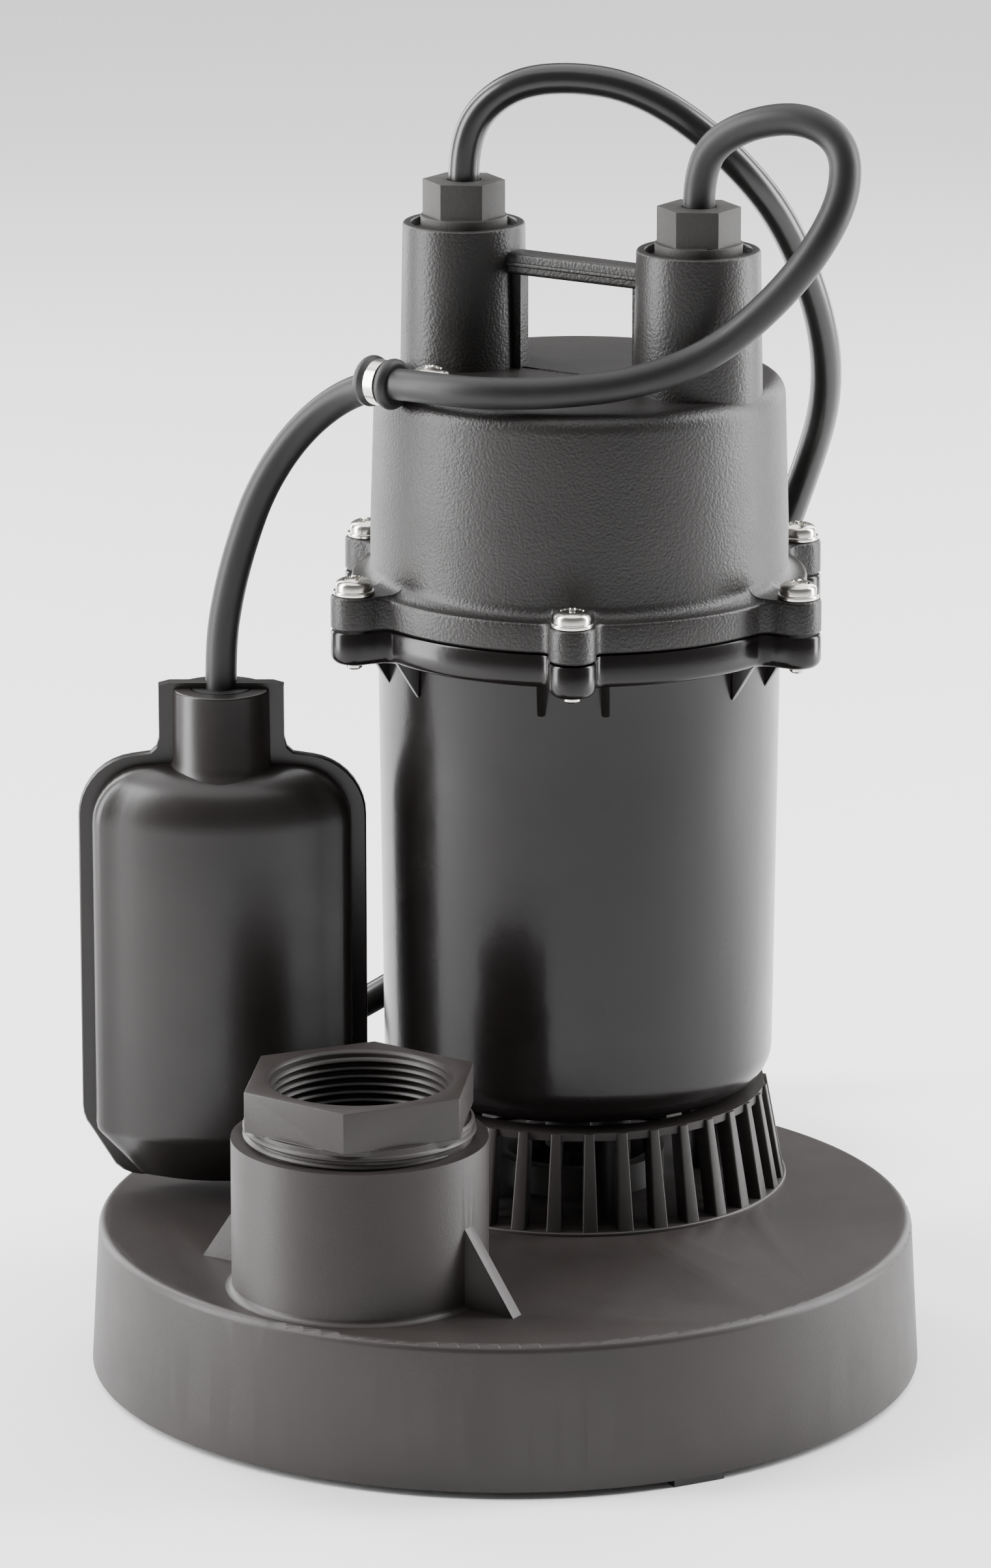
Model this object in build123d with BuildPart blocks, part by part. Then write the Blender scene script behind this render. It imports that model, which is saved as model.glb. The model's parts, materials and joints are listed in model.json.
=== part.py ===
"""Submersible sump pump with a tethered float switch, in millimetres.

The origin is the centre of the base's footprint, on the plane of its feet. +Z is up, +Y runs from the
discharge to the motor, and +X is the line of the two cord glands.
"""
import os
from math import cos, pi, radians, sin, tan

from build123d import *

# Base
base_bottom_radius = 113.3
base_taper = 2.2
base_top_radius = base_bottom_radius - base_taper
base_top = 41.6
base_bottom = 2.0
base_edge_radius = 2.5
skirt_wall = 3.5
deck_thickness = 4.0
plate_thickness = 3.5
plate_gap = 0.2
foot_count = 3
foot_width = 14.8
foot_length = 9.0
foot_angle = -31.0
plate_screw_inset = 14.3
plate_screw_circle = base_bottom_radius - plate_screw_inset
plate_screw_radius = 2.0
plate_boss_radius = 4.5

# Volute chamber in the base
chamber_radius = 54.0
channel_radius = 24.0
chamber_wall = 3.0
gasket_thickness = 1.0
eye_radius = 20.0
eye_ring_wall = 4.0
eye_ring_height = 8.0

# Discharge
discharge_y = -72.5
boss_wall = 4.15
boss_top = 83.2
thread_radius = 30.0
thread_length = 26.0
thread_gap = 0.05
boss_radius = thread_radius + thread_gap + boss_wall
passage_radius = 22.0
hex_flats = 57.0
hex_thickness = 11.0
hex_lift = 5.1
hex_turn = -4.0
pipe_thread_radius = 24.1
pipe_mouth_chamfer = 0.8
gusset_reach = 15.0
gusset_height = 22.0
gusset_thickness = 4.0

# Motor and its housing
motor_x = -2.0
motor_y = 41.2
housing_bottom = 70.0
housing_bottom_radius = 53.6
housing_top_radius = 54.9
housing_wall = 3.0
housing_floor = 5.0
housing_corner = 9.0
parting_height = 205.3
flange_radius = 62.0
lower_flange_height = 9.5
upper_flange_height = 8.2
ear_lift = 1.2
ear_circle = 68.8
ear_radius = 6.3
ear_count = 6
ear_rib_drop = 9.5
ear_rib_thickness = 2.4

# Intake screen
slat_count = 36
slat_turn = 5.0
slat_thickness = 3.2
slat_bite = 0.4
screen_top_radius = 52.6
screen_bottom_radius = 57.4
screen_depth = 4.2
screen_ring_height = 2.0
screen_ring_wall = 7.0

# Housing posts
post_circle = 38.0
post_radius = 5.5
post_count = 4
post_screw_radius = 2.2

# Cap with two gland towers and a handle
cap_top = 268.0
cap_top_radius = 55.8
cap_foot_radius = 57.2
cap_wall = 4.0
cap_plate = 5.0
cap_edge_radius = 5.0
cap_fillet = 4.0
tower_offset = 37.1
tower_height = 38.4
tower_top = cap_top + tower_height
gland_bore_radius = 10.0
collar_radius = gland_bore_radius + 1.8
recess_radius = collar_radius + 2.5
recess_depth = 2.4
tower_radius = recess_radius + 2.4
tower_foot_radius = tower_radius + 0.7
gland_bore_depth = 21.0
wire_bore_radius = 5.0
web_depth = 4.0
web_reach = 3.0
bar_lift = 26.0
bar_bottom = cap_top + bar_lift
bar_height = 6.0
bar_depth = 7.5

# Flange screws
screw_radius = 2.2
screw_head_radius = 5.0
screw_head_height = 4.2
washer_radius = 5.6
washer_thickness = 1.3
screw_tip = 1.6
capacitor_radius = 15.0
capacitor_length = 44.0
capacitor_drop = 32.0
cutout_offset = 26.0
cutout_drop = 56.0
cutout_width = 16.0
cutout_length = 26.0
cutout_height = 9.0
seal_width = 2.0
seal_height = 0.6

# Cord glands
collar_height = 4.3
nut_flats = 19.6
nut_height = 9.7
nut_bore_radius = 4.6
grommet_radius = 7.0
grommet_length = 9.0

# Cords
cord_radius = 4.3
coil_x = -78.0
coil_clearance = 49.2
coil_y = base_bottom_radius + coil_clearance
coil_mean_radius = 47.5
coil_columns = 2
coil_layers = 4
clip_exit_lift = 0.8
tether_drop = 84.3

# Rotor line
shaft_radius = 6.0
shaft_bottom = 9.0
shaft_top = 208.0
impeller_radius = 44.0
impeller_bottom = 13.0
impeller_disc = 2.5
impeller_height = 17.0
impeller_hub_radius = 11.0
vane_count = 6
vane_thickness = 2.4
rotor_radius = 26.0
core_bottom = 112.0
core_height = 58.0
air_gap = 0.4
stator_radius = 48.0
winding_height = 14.0
bearing_outer_radius = 15.0
bearing_width = 9.0
bearing_ball_radius = 2.6
bearing_balls = 8
bearing_gap = 0.05
lower_bearing_bottom = 84.0
upper_bearing_bottom = 196.0

# Clip that holds the float's cord to the cap
clip_x = -32.5
clip_y = -10.0
clip_lift = 3.6
clip_z = cap_top + clip_lift
clip_turn = 82.0
clip_reach = 20.0
clip_rubber_wall = 1.5
clip_rubber_length = 12.0
clip_band_wall = 0.8
clip_band_length = 7.0
clip_tab_width = 9.0

# Float switch
float_x = -76.5
float_y = -23.2
float_turn = 32.1
float_bottom = 47.0
float_height = 116.0
float_width = 70.5
float_depth = 44.0
float_side = 12.0
float_wall = 2.2
float_rim_width = 78.5
float_rim_thickness = 1.5
float_shoulder = 14.0
float_chamfer = 12.0
neck_radius = 13.2
neck_height = 21.5
fin_reach = 17.1
fin_height = 23.5
neck_bore_radius = 8.0
switch_ball_radius = 7.0
ball_travel = 16.0

# Plug on the power cord's end
plug_length = 38.0
plug_width = 26.0
plug_height = 18.0
blade_length = 17.0
blade_width = 6.4
blade_thickness = 1.5
blade_spacing = 12.7
ground_pin_radius = 2.4
ground_pin_drop = 6.0

motor = (motor_x, motor_y)
discharge = (0, discharge_y)
plate_top = base_bottom + plate_thickness
deck_under = base_top - deck_thickness
ear_top = parting_height + upper_flange_height + ear_lift
towers = {"power": (motor_x - tower_offset, motor_y), "float": (motor_x + tower_offset, motor_y)}
recess_floor = tower_top - recess_depth
ear_root = flange_radius - 2
ear_run = ear_circle - ear_root
seal_radius = (flange_radius + cap_foot_radius - cap_wall) / 2
nut_bottom = recess_floor + collar_height
gland_top = nut_bottom + nut_height
hex_bottom = boss_top + hex_lift
hex_top = hex_bottom + hex_thickness
pieces = {}


def level(centre, height):
    """Horizontal plane with its origin at a centre, at a height."""
    return Plane(origin=(centre[0], centre[1], height))


def upright(centre):
    """Upright plane through a centre: its X is the radius along +X and its Y is the height."""
    return Plane(origin=(centre[0], centre[1], 0), x_dir=(1, 0, 0), z_dir=(0, -1, 0))


def ring(centre, bottom, height, outer, inner=0.0):
    """Upright disc or ring."""
    with BuildPart() as made:
        with BuildSketch(level(centre, bottom)):
            Circle(outer)
            if inner > 0:
                Circle(inner, mode=Mode.SUBTRACT)
        extrude(amount=height)
    return made


def spun(centre, outline):
    """Closed outline of (radius, height) corners turned about an upright axis."""
    with BuildPart() as made:
        with BuildSketch(upright(centre)):
            with BuildLine():
                Polyline(*outline, close=True)
            make_face()
        revolve(axis=Axis((centre[0], centre[1], 0), (0, 0, 1)))
    return made


def screws(centre, circle, count, turn, head_bottom, head_height, head_radius, shank_radius, tip):
    """Circle of identical pan-head screws, each one solid, with the shank from the head down to tip."""
    with BuildPart() as made:
        with BuildSketch(level(centre, head_bottom)):
            with PolarLocations(circle, count, start_angle=turn):
                Circle(head_radius)
        extrude(amount=head_height)
        with BuildSketch(level(centre, head_bottom)):
            with PolarLocations(circle, count, start_angle=turn):
                Circle(shank_radius)
        extrude(amount=tip - head_bottom)
    return made


def bend_radii(points):
    """Arc radius at each inner point of a route, which leaves a straight stretch on both sides."""
    radii = []
    for before, here, after in zip(points, points[1:], points[2:]):
        arriving = Vector(here) - Vector(before)
        leaving = Vector(after) - Vector(here)
        half_turn = radians(arriving.get_angle(leaving)) / 2
        radii.append(0.45 * min(arriving.length, leaving.length) / tan(half_turn))
    return radii


def cord(name, points):
    """Round tube along straight runs joined by tangent arcs."""
    radii = bend_radii(points)
    print(name, "bend radii", [round(radius, 1) for radius in radii])
    with BuildPart() as made:
        with BuildLine() as route:
            FilletPolyline(*points, radius=radii)
        with BuildSketch(Plane(origin=points[0], z_dir=Vector(points[1]) - Vector(points[0]))):
            Circle(cord_radius)
        sweep(path=route.wire())
    expected = pi * cord_radius**2 * route.wire().length
    print(name, "length", round(route.wire().length, 1), "volume share", round(made.part.volume / expected, 4))
    return made


# Base shell: a skirted disc, open below, with the chamber walls under its deck
with BuildPart() as base_shell:
    with BuildSketch(Plane.XZ):
        with BuildLine():
            Polyline(
                (0, deck_under),
                (0, base_top),
                (base_top_radius, base_top),
                (base_bottom_radius, base_bottom),
                (base_bottom_radius - skirt_wall, base_bottom),
                (base_top_radius - skirt_wall, deck_under),
                close=True,
            )
        make_face()
    revolve(axis=Axis.Z)
    rim = base_shell.edges().filter_by(GeomType.CIRCLE).sort_by(Axis.Z)[-1]
    fillet(rim, base_edge_radius)
    with BuildSketch(Plane.XY.offset(plate_top + gasket_thickness)):
        with BuildSketch(mode=Mode.PRIVATE) as outer_wall:
            with Locations(motor):
                Circle(chamber_radius + chamber_wall)
            with Locations(discharge):
                Circle(channel_radius + chamber_wall)
            make_hull()
        with BuildSketch(mode=Mode.PRIVATE) as inner_wall:
            with Locations(motor):
                Circle(chamber_radius)
            with Locations(discharge):
                Circle(channel_radius)
            make_hull()
        add(outer_wall.sketch)
        add(inner_wall.sketch, mode=Mode.SUBTRACT)
    extrude(until=Until.NEXT)
    with BuildSketch(Plane.XY.offset(plate_top)):
        with PolarLocations(plate_screw_circle, ear_count):
            Circle(plate_boss_radius)
            Circle(plate_screw_radius, mode=Mode.SUBTRACT)
    extrude(amount=deck_under - plate_top)
    with BuildSketch(level(discharge, base_top)):
        Circle(boss_radius)
    extrude(amount=boss_top - base_top)
    with BuildSketch(level(discharge, deck_under)):
        Circle(passage_radius)
    extrude(amount=boss_top - deck_under, mode=Mode.SUBTRACT)
    with BuildSketch(level(discharge, boss_top)):
        Circle(thread_radius + thread_gap)
    extrude(amount=-thread_length, mode=Mode.SUBTRACT)
    for side in (-1, 1):
        with BuildSketch(upright((0, discharge_y - gusset_thickness / 2))):
            with BuildLine():
                Polyline(
                    (side * (boss_radius - 1), base_top - 1),
                    (side * (boss_radius + gusset_reach), base_top - 1),
                    (side * (boss_radius + gusset_reach), base_top),
                    (side * boss_radius, base_top + gusset_height),
                    (side * (boss_radius - 1), base_top + gusset_height),
                    close=True,
                )
            make_face()
        extrude(amount=-gusset_thickness)
    with BuildSketch(level(motor, base_top)):
        Circle(eye_radius + eye_ring_wall)
    extrude(amount=eye_ring_height)
    with BuildSketch(level(motor, deck_under)):
        Circle(eye_radius)
    extrude(amount=deck_thickness + eye_ring_height, mode=Mode.SUBTRACT)
    with BuildSketch(level(motor, base_top)):
        with PolarLocations(post_circle, post_count, start_angle=45):
            Circle(post_radius)
    extrude(amount=housing_bottom - base_top)
    with BuildSketch(level(motor, deck_under)):
        with PolarLocations(post_circle, post_count, start_angle=45):
            Circle(post_screw_radius)
    extrude(amount=housing_bottom - deck_under, mode=Mode.SUBTRACT)
pieces["base_shell"] = base_shell

# Bottom plate inside the skirt, and the feet bonded under it
with BuildPart() as bottom_plate:
    with BuildSketch(Plane.XY.offset(base_bottom)):
        Circle(base_bottom_radius - skirt_wall - plate_gap)
        with PolarLocations(plate_screw_circle, ear_count):
            Circle(plate_screw_radius, mode=Mode.SUBTRACT)
    extrude(amount=plate_thickness)
    draft_gap = (base_bottom_radius - base_top_radius) * plate_thickness / (base_top - base_bottom)
    upper_rim = bottom_plate.edges().filter_by(GeomType.CIRCLE).group_by(Axis.Z)[-1].sort_by(SortBy.RADIUS)[-1]
    chamfer(upper_rim, draft_gap)
pieces["bottom_plate"] = bottom_plate

with BuildPart() as foot_pads:
    with BuildSketch(Plane.XY):
        with PolarLocations(base_bottom_radius - foot_length / 2 - 0.6, foot_count, start_angle=foot_angle):
            Rectangle(foot_length, foot_width)
    extrude(amount=base_bottom)
pieces["foot_pads"] = foot_pads

with BuildPart() as volute_gasket:
    with BuildSketch(Plane.XY.offset(plate_top)):
        add(outer_wall.sketch)
        add(inner_wall.sketch, mode=Mode.SUBTRACT)
    extrude(amount=gasket_thickness)
pieces["volute_gasket"] = volute_gasket

pieces["bottom_plate_screws"] = screws(
    (0, 0), plate_screw_circle, ear_count, 0, base_bottom, -1.4, plate_boss_radius - 0.5, plate_screw_radius,
    deck_under - 14)
pieces["housing_screws"] = screws(
    motor, post_circle, post_count, 45, deck_under, -3.0, post_radius - 1, post_screw_radius,
    housing_bottom + housing_floor)

# Discharge adapter: hexagonal collar with a threaded neck in the boss
with BuildPart() as discharge_adapter:
    with BuildSketch(level(discharge, hex_bottom)):
        RegularPolygon(hex_flats / 2, 6, major_radius=False, rotation=hex_turn)
    extrude(amount=hex_thickness)
    with BuildSketch(level(discharge, hex_bottom)):
        Circle(thread_radius)
    extrude(amount=boss_top - thread_length - hex_bottom)
    with BuildSketch(level(discharge, hex_top)):
        Circle(pipe_thread_radius)
    extrude(amount=boss_top - thread_length - hex_top, mode=Mode.SUBTRACT)
    mouth = discharge_adapter.edges().filter_by(GeomType.CIRCLE).sort_by(Axis.Z)[-1]
    chamfer(mouth, pipe_mouth_chamfer)
pieces["discharge_adapter"] = discharge_adapter

# Intake screen: flared slats under a ring, standing on the base's deck
with BuildPart() as intake_screen:
    screen_top = housing_bottom - 1.0
    screen_inner_top = screen_top_radius - screen_depth
    with BuildSketch(level(motor, screen_top - screen_ring_height)):
        Circle(screen_top_radius)
        Circle(screen_top_radius - screen_ring_wall, mode=Mode.SUBTRACT)
    extrude(amount=screen_ring_height)
    with BuildSketch(level(motor, base_top)):
        Circle(screen_bottom_radius)
        Circle(screen_bottom_radius - screen_ring_wall, mode=Mode.SUBTRACT)
    extrude(amount=screen_ring_height * 0.6)
    for index in range(slat_count):
        turn = radians(slat_turn + index * 360 / slat_count)
        outwards = (cos(turn), sin(turn), 0)
        sideways = (sin(turn), -cos(turn), 0)
        with BuildSketch(Plane(origin=(motor_x, motor_y, 0), x_dir=outwards, z_dir=sideways)):
            with BuildLine():
                Polyline(
                    (screen_inner_top, screen_top - slat_bite),
                    (screen_top_radius - slat_bite, screen_top - slat_bite),
                    (screen_bottom_radius - slat_bite, base_top + slat_bite),
                    (screen_bottom_radius - screen_depth - 1, base_top + slat_bite),
                    close=True,
                )
            make_face()
        extrude(amount=slat_thickness / 2, both=True)
pieces["intake_screen"] = intake_screen

# Motor housing: a drafted can with a rounded foot and six ears on its flange
with BuildPart() as motor_housing:
    with BuildSketch(upright(motor)):
        with BuildLine():
            Polyline(
                (0, housing_bottom),
                (housing_bottom_radius, housing_bottom),
                (housing_top_radius, parting_height - lower_flange_height),
                (flange_radius, parting_height - lower_flange_height),
                (flange_radius, parting_height),
                (0, parting_height),
                close=True,
            )
        make_face()
    revolve(axis=Axis((motor_x, motor_y, 0), (0, 0, 1)))
    foot_edge = motor_housing.edges().filter_by(GeomType.CIRCLE).group_by(Axis.Z)[0]
    fillet(foot_edge, housing_corner)
    with BuildSketch(level(motor, parting_height - lower_flange_height)):
        with PolarLocations(ear_circle, ear_count):
            Circle(ear_radius)
        with PolarLocations(ear_root + ear_run / 2, ear_count):
            Rectangle(ear_run, 2 * ear_radius)
    extrude(amount=lower_flange_height)
    for index in range(ear_count):
        for side in (-1, 1):
            turn = index * 2 * pi / ear_count
            outwards = (cos(turn), sin(turn), 0)
            sideways = (sin(turn), -cos(turn), 0)
            offset_side = side * (ear_radius + ear_rib_thickness)
            rib_x = motor_x + offset_side * sideways[0]
            rib_y = motor_y + offset_side * sideways[1]
            with BuildSketch(Plane(origin=(rib_x, rib_y, 0), x_dir=outwards, z_dir=sideways)):
                with BuildLine():
                    Polyline(
                        (housing_top_radius - 3, parting_height - lower_flange_height),
                        (flange_radius - 1, parting_height - lower_flange_height),
                        (housing_top_radius - 3, parting_height - lower_flange_height - ear_rib_drop),
                        close=True,
                    )
                make_face()
            extrude(amount=ear_rib_thickness / 2, both=True)
    with BuildSketch(level(motor, housing_bottom + housing_floor)):
        Circle(housing_bottom_radius - housing_wall)
    extrude(amount=parting_height - housing_bottom - housing_floor, mode=Mode.SUBTRACT)
    with BuildSketch(level(motor, housing_bottom)):
        Circle(bearing_outer_radius - 3)
    extrude(amount=housing_floor, mode=Mode.SUBTRACT)
    with BuildSketch(level(motor, housing_bottom)):
        with PolarLocations(post_circle, post_count, start_angle=45):
            Circle(post_screw_radius)
    extrude(amount=housing_floor, mode=Mode.SUBTRACT)
    with BuildSketch(level(motor, parting_height)):
        with PolarLocations(ear_circle, ear_count):
            Circle(screw_radius)
    extrude(amount=-lower_flange_height, mode=Mode.SUBTRACT)
pieces["motor_housing"] = motor_housing

# Cap: drafted dome with a flange, two gland towers and a bar handle between them
with BuildPart() as top_cap:
    with BuildSketch(upright(motor)):
        with BuildLine():
            Polyline(
                (0, parting_height),
                (flange_radius, parting_height),
                (flange_radius, parting_height + upper_flange_height),
                (cap_foot_radius, parting_height + upper_flange_height),
                (cap_top_radius, cap_top),
                (0, cap_top),
                close=True,
            )
        make_face()
    revolve(axis=Axis((motor_x, motor_y, 0), (0, 0, 1)))
    circles = top_cap.edges().filter_by(GeomType.CIRCLE)
    fillet(circles.sort_by(Axis.Z)[-1], cap_edge_radius)
    inner_corner = circles.filter_by(lambda edge: abs(edge.radius - cap_foot_radius) < 0.01)
    fillet(inner_corner, cap_fillet)
    with BuildSketch(level(motor, parting_height)):
        with PolarLocations(ear_circle, ear_count):
            Circle(ear_radius)
        with PolarLocations(ear_root + ear_run / 2, ear_count):
            Rectangle(ear_run, 2 * ear_radius)
    extrude(amount=upper_flange_height + ear_lift)
    for centre in towers.values():
        with BuildSketch(level(centre, cap_top - cap_plate + 1)):
            Circle(tower_foot_radius)
        with BuildSketch(level(centre, tower_top)):
            Circle(tower_radius)
        loft()
    bar_length = 2 * tower_offset - 2 * tower_radius + 2
    with BuildSketch(level(motor, bar_bottom)):
        Rectangle(bar_length, bar_depth)
    extrude(amount=bar_height)
    for side in (-1, 1):
        web_x = motor_x + side * (tower_offset - tower_radius - web_reach / 2 + 0.5)
        with BuildSketch(level((web_x, motor_y), cap_top - 1)):
            Rectangle(web_reach + 1, web_depth)
        extrude(amount=bar_bottom - cap_top + 2)
    with BuildSketch(level(motor, parting_height)):
        Circle(cap_foot_radius - cap_wall - 1)
    extrude(amount=cap_top - cap_plate - parting_height, mode=Mode.SUBTRACT)
    for centre in towers.values():
        with BuildSketch(level(centre, tower_top)):
            Circle(recess_radius)
        extrude(amount=-recess_depth, mode=Mode.SUBTRACT)
        with BuildSketch(level(centre, recess_floor)):
            Circle(gland_bore_radius)
        extrude(amount=-gland_bore_depth, mode=Mode.SUBTRACT)
        with BuildSketch(level(centre, recess_floor - gland_bore_depth)):
            Circle(wire_bore_radius)
        extrude(amount=cap_top - cap_plate - recess_floor + gland_bore_depth, mode=Mode.SUBTRACT)
    with BuildSketch(level(motor, parting_height)):
        with PolarLocations(ear_circle, ear_count):
            Circle(screw_radius)
    extrude(amount=upper_flange_height + ear_lift, mode=Mode.SUBTRACT)
    clip_dx = clip_reach * cos(radians(clip_turn))
    clip_dy = clip_reach * sin(radians(clip_turn))
    clip_screw = (clip_x + clip_dx, clip_y + clip_dy)
    with BuildSketch(level(clip_screw, cap_top)):
        Circle(screw_radius)
    extrude(amount=-cap_plate, mode=Mode.SUBTRACT)
    with BuildSketch(level(motor, parting_height)):
        Circle(seal_radius + seal_width / 2)
        Circle(seal_radius - seal_width / 2, mode=Mode.SUBTRACT)
    extrude(amount=seal_height, mode=Mode.SUBTRACT)
pieces["top_cap"] = top_cap

# Flange seal, washers and screws
pieces["flange_seal"] = ring(
    motor, parting_height, seal_height, seal_radius + seal_width / 2, seal_radius - seal_width / 2)

with BuildPart() as flange_washers:
    with BuildSketch(level(motor, ear_top)):
        with PolarLocations(ear_circle, ear_count):
            Circle(washer_radius)
            Circle(screw_radius, mode=Mode.SUBTRACT)
    extrude(amount=washer_thickness)
pieces["flange_washers"] = flange_washers
pieces["flange_screws"] = screws(
    motor, ear_circle, ear_count, 0, ear_top + washer_thickness, screw_head_height, screw_head_radius,
    screw_radius, parting_height - lower_flange_height - screw_tip)

# Glands: a collared hexagonal nut with its thread in the tower, and the rubber grommet it squeezes
for use, centre in towers.items():
    with BuildPart() as gland_nut:
        with BuildSketch(level(centre, recess_floor)):
            Circle(collar_radius)
        extrude(amount=collar_height)
        with BuildSketch(level(centre, nut_bottom)):
            RegularPolygon(nut_flats / 2, 6, major_radius=False, rotation=28)
        extrude(amount=nut_height)
        with BuildSketch(level(centre, recess_floor)):
            Circle(gland_bore_radius)
        extrude(amount=grommet_length - gland_bore_depth)
        with BuildSketch(level(centre, gland_top)):
            Circle(nut_bore_radius)
        extrude(amount=recess_floor - gland_bore_depth - gland_top, mode=Mode.SUBTRACT)
    pieces[f"{use}_gland_nut"] = gland_nut
    pieces[f"{use}_gland_grommet"] = ring(
        centre, recess_floor - gland_bore_depth, grommet_length, gland_bore_radius, cord_radius)
    pieces[f"{use}_cord_stub"] = ring(
        centre, recess_floor - gland_bore_depth, gland_bore_depth - recess_floor + gland_top, cord_radius)

# Rotor line, all turning about the motor's axis
pieces["shaft"] = ring(motor, shaft_bottom, shaft_top - shaft_bottom, shaft_radius)
with BuildPart() as impeller:
    with BuildSketch(level(motor, impeller_bottom)):
        Circle(impeller_radius)
    extrude(amount=impeller_disc)
    with BuildSketch(level(motor, impeller_bottom)):
        Circle(impeller_hub_radius)
    extrude(amount=impeller_height)
    for index in range(vane_count):
        with BuildSketch(level(motor, impeller_bottom + impeller_disc)):
            with BuildLine(mode=Mode.PRIVATE) as vane_line:
                ThreePointArc(
                    PolarLocations(impeller_hub_radius - 1, 1, index * 360 / vane_count).locations[0].position,
                    PolarLocations(impeller_radius * 0.6, 1, index * 360 / vane_count + 32).locations[0].position,
                    PolarLocations(impeller_radius - 1, 1, index * 360 / vane_count + 75).locations[0].position,
                )
            with BuildLine():
                add(vane_line.line)
                offset(amount=vane_thickness / 2, side=Side.BOTH)
            make_face()
        extrude(amount=impeller_height - impeller_disc)
    with BuildSketch(level(motor, impeller_bottom)):
        Circle(shaft_radius)
    extrude(amount=impeller_height, mode=Mode.SUBTRACT)
pieces["impeller"] = impeller
with BuildPart() as impeller_nut:
    with BuildSketch(level(motor, shaft_bottom)):
        RegularPolygon(8.0, 6, major_radius=False)
        Circle(shaft_radius, mode=Mode.SUBTRACT)
    extrude(amount=impeller_bottom - shaft_bottom)
pieces["impeller_nut"] = impeller_nut
pieces["rotor_core"] = ring(motor, core_bottom, core_height, rotor_radius, shaft_radius)
for place, bottom in (("lower", core_bottom - 5), ("upper", core_bottom + core_height)):
    pieces[f"{place}_rotor_end_ring"] = ring(motor, bottom, 5, rotor_radius - 2, rotor_radius - 9)

# Shaft seal: a fixed seat in the housing's floor and a turning face with its rubber bellows
seat_radius = bearing_outer_radius - 3
pieces["seal_seat"] = ring(motor, housing_bottom - 2, housing_floor + 2, seat_radius, shaft_radius + 0.4)
pieces["seal_face"] = ring(motor, housing_bottom - 8, 5.95, seat_radius - 2, shaft_radius)
pieces["seal_bellows"] = ring(motor, housing_bottom - 20, 12, seat_radius - 3, shaft_radius)

# Bearings
race_radius = (bearing_outer_radius + shaft_radius) / 2
race_ring = bearing_outer_radius - 3
for place, bottom in (("lower", lower_bearing_bottom), ("upper", upper_bearing_bottom)):
    middle = bottom + bearing_width / 2
    with BuildPart() as race:
        with BuildSketch(upright(motor)):
            with Locations((race_radius, middle)):
                Circle(bearing_ball_radius + bearing_gap)
        revolve(axis=Axis((motor_x, motor_y, 0), (0, 0, 1)))
    with BuildPart() as outer_race:
        add(ring(motor, bottom, bearing_width, bearing_outer_radius, race_ring).part)
        add(race.part, mode=Mode.SUBTRACT)
    pieces[f"{place}_bearing_outer"] = outer_race
    with BuildPart() as inner_race:
        add(ring(motor, bottom, bearing_width, shaft_radius + 3, shaft_radius).part)
        add(race.part, mode=Mode.SUBTRACT)
    pieces[f"{place}_bearing_inner"] = inner_race
    with BuildPart() as balls:
        with Locations(level(motor, middle)):
            with PolarLocations(race_radius, bearing_balls):
                Sphere(bearing_ball_radius)
    pieces[f"{place}_bearing_balls"] = balls

# Bearing brackets, stator and windings
inside_radius = housing_bottom_radius - housing_wall
bracket_bottom = housing_bottom + housing_floor
pieces["lower_bracket"] = spun(motor, (
    (bearing_outer_radius, bracket_bottom),
    (inside_radius, bracket_bottom),
    (inside_radius, bracket_bottom + 5),
    (bearing_outer_radius + 5, bracket_bottom + 5),
    (bearing_outer_radius + 5, lower_bearing_bottom + bearing_width),
    (bearing_outer_radius, lower_bearing_bottom + bearing_width),
))
pieces["upper_bracket"] = spun(motor, (
    (bearing_outer_radius, upper_bearing_bottom),
    (inside_radius, upper_bearing_bottom),
    (inside_radius, upper_bearing_bottom + 4),
    (bearing_outer_radius + 4, upper_bearing_bottom + 4),
    (bearing_outer_radius + 4, upper_bearing_bottom + bearing_width + 2),
    (bearing_outer_radius, upper_bearing_bottom + bearing_width + 2),
))
pieces["stator_core"] = ring(motor, core_bottom, core_height, inside_radius, rotor_radius + air_gap)
for place, bottom in (("lower", core_bottom - winding_height), ("upper", core_bottom + core_height)):
    winding = ring(motor, bottom, winding_height, stator_radius - 5, rotor_radius + 6)
    with BuildPart() as rounded:
        add(winding.part)
        fillet(rounded.edges().filter_by(GeomType.CIRCLE), 3)
    pieces[f"{place}_winding"] = rounded

# Start capacitor and thermal cut-out in the cap
capacitor_x = motor_x + 24
capacitor_y = motor_y - capacitor_length / 2
capacitor_z = cap_top - capacitor_drop
with BuildPart() as capacitor:
    with BuildSketch(Plane(origin=(capacitor_x, capacitor_y, capacitor_z), x_dir=(1, 0, 0), z_dir=(0, 1, 0))):
        Circle(capacitor_radius)
    extrude(amount=capacitor_length)
pieces["capacitor"] = capacitor
with BuildPart() as thermal_cutout:
    with BuildSketch(level((motor_x - cutout_offset, motor_y), cap_top - cutout_drop)):
        Rectangle(cutout_width, cutout_length)
    extrude(amount=cutout_height)
pieces["thermal_cutout"] = thermal_cutout

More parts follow.
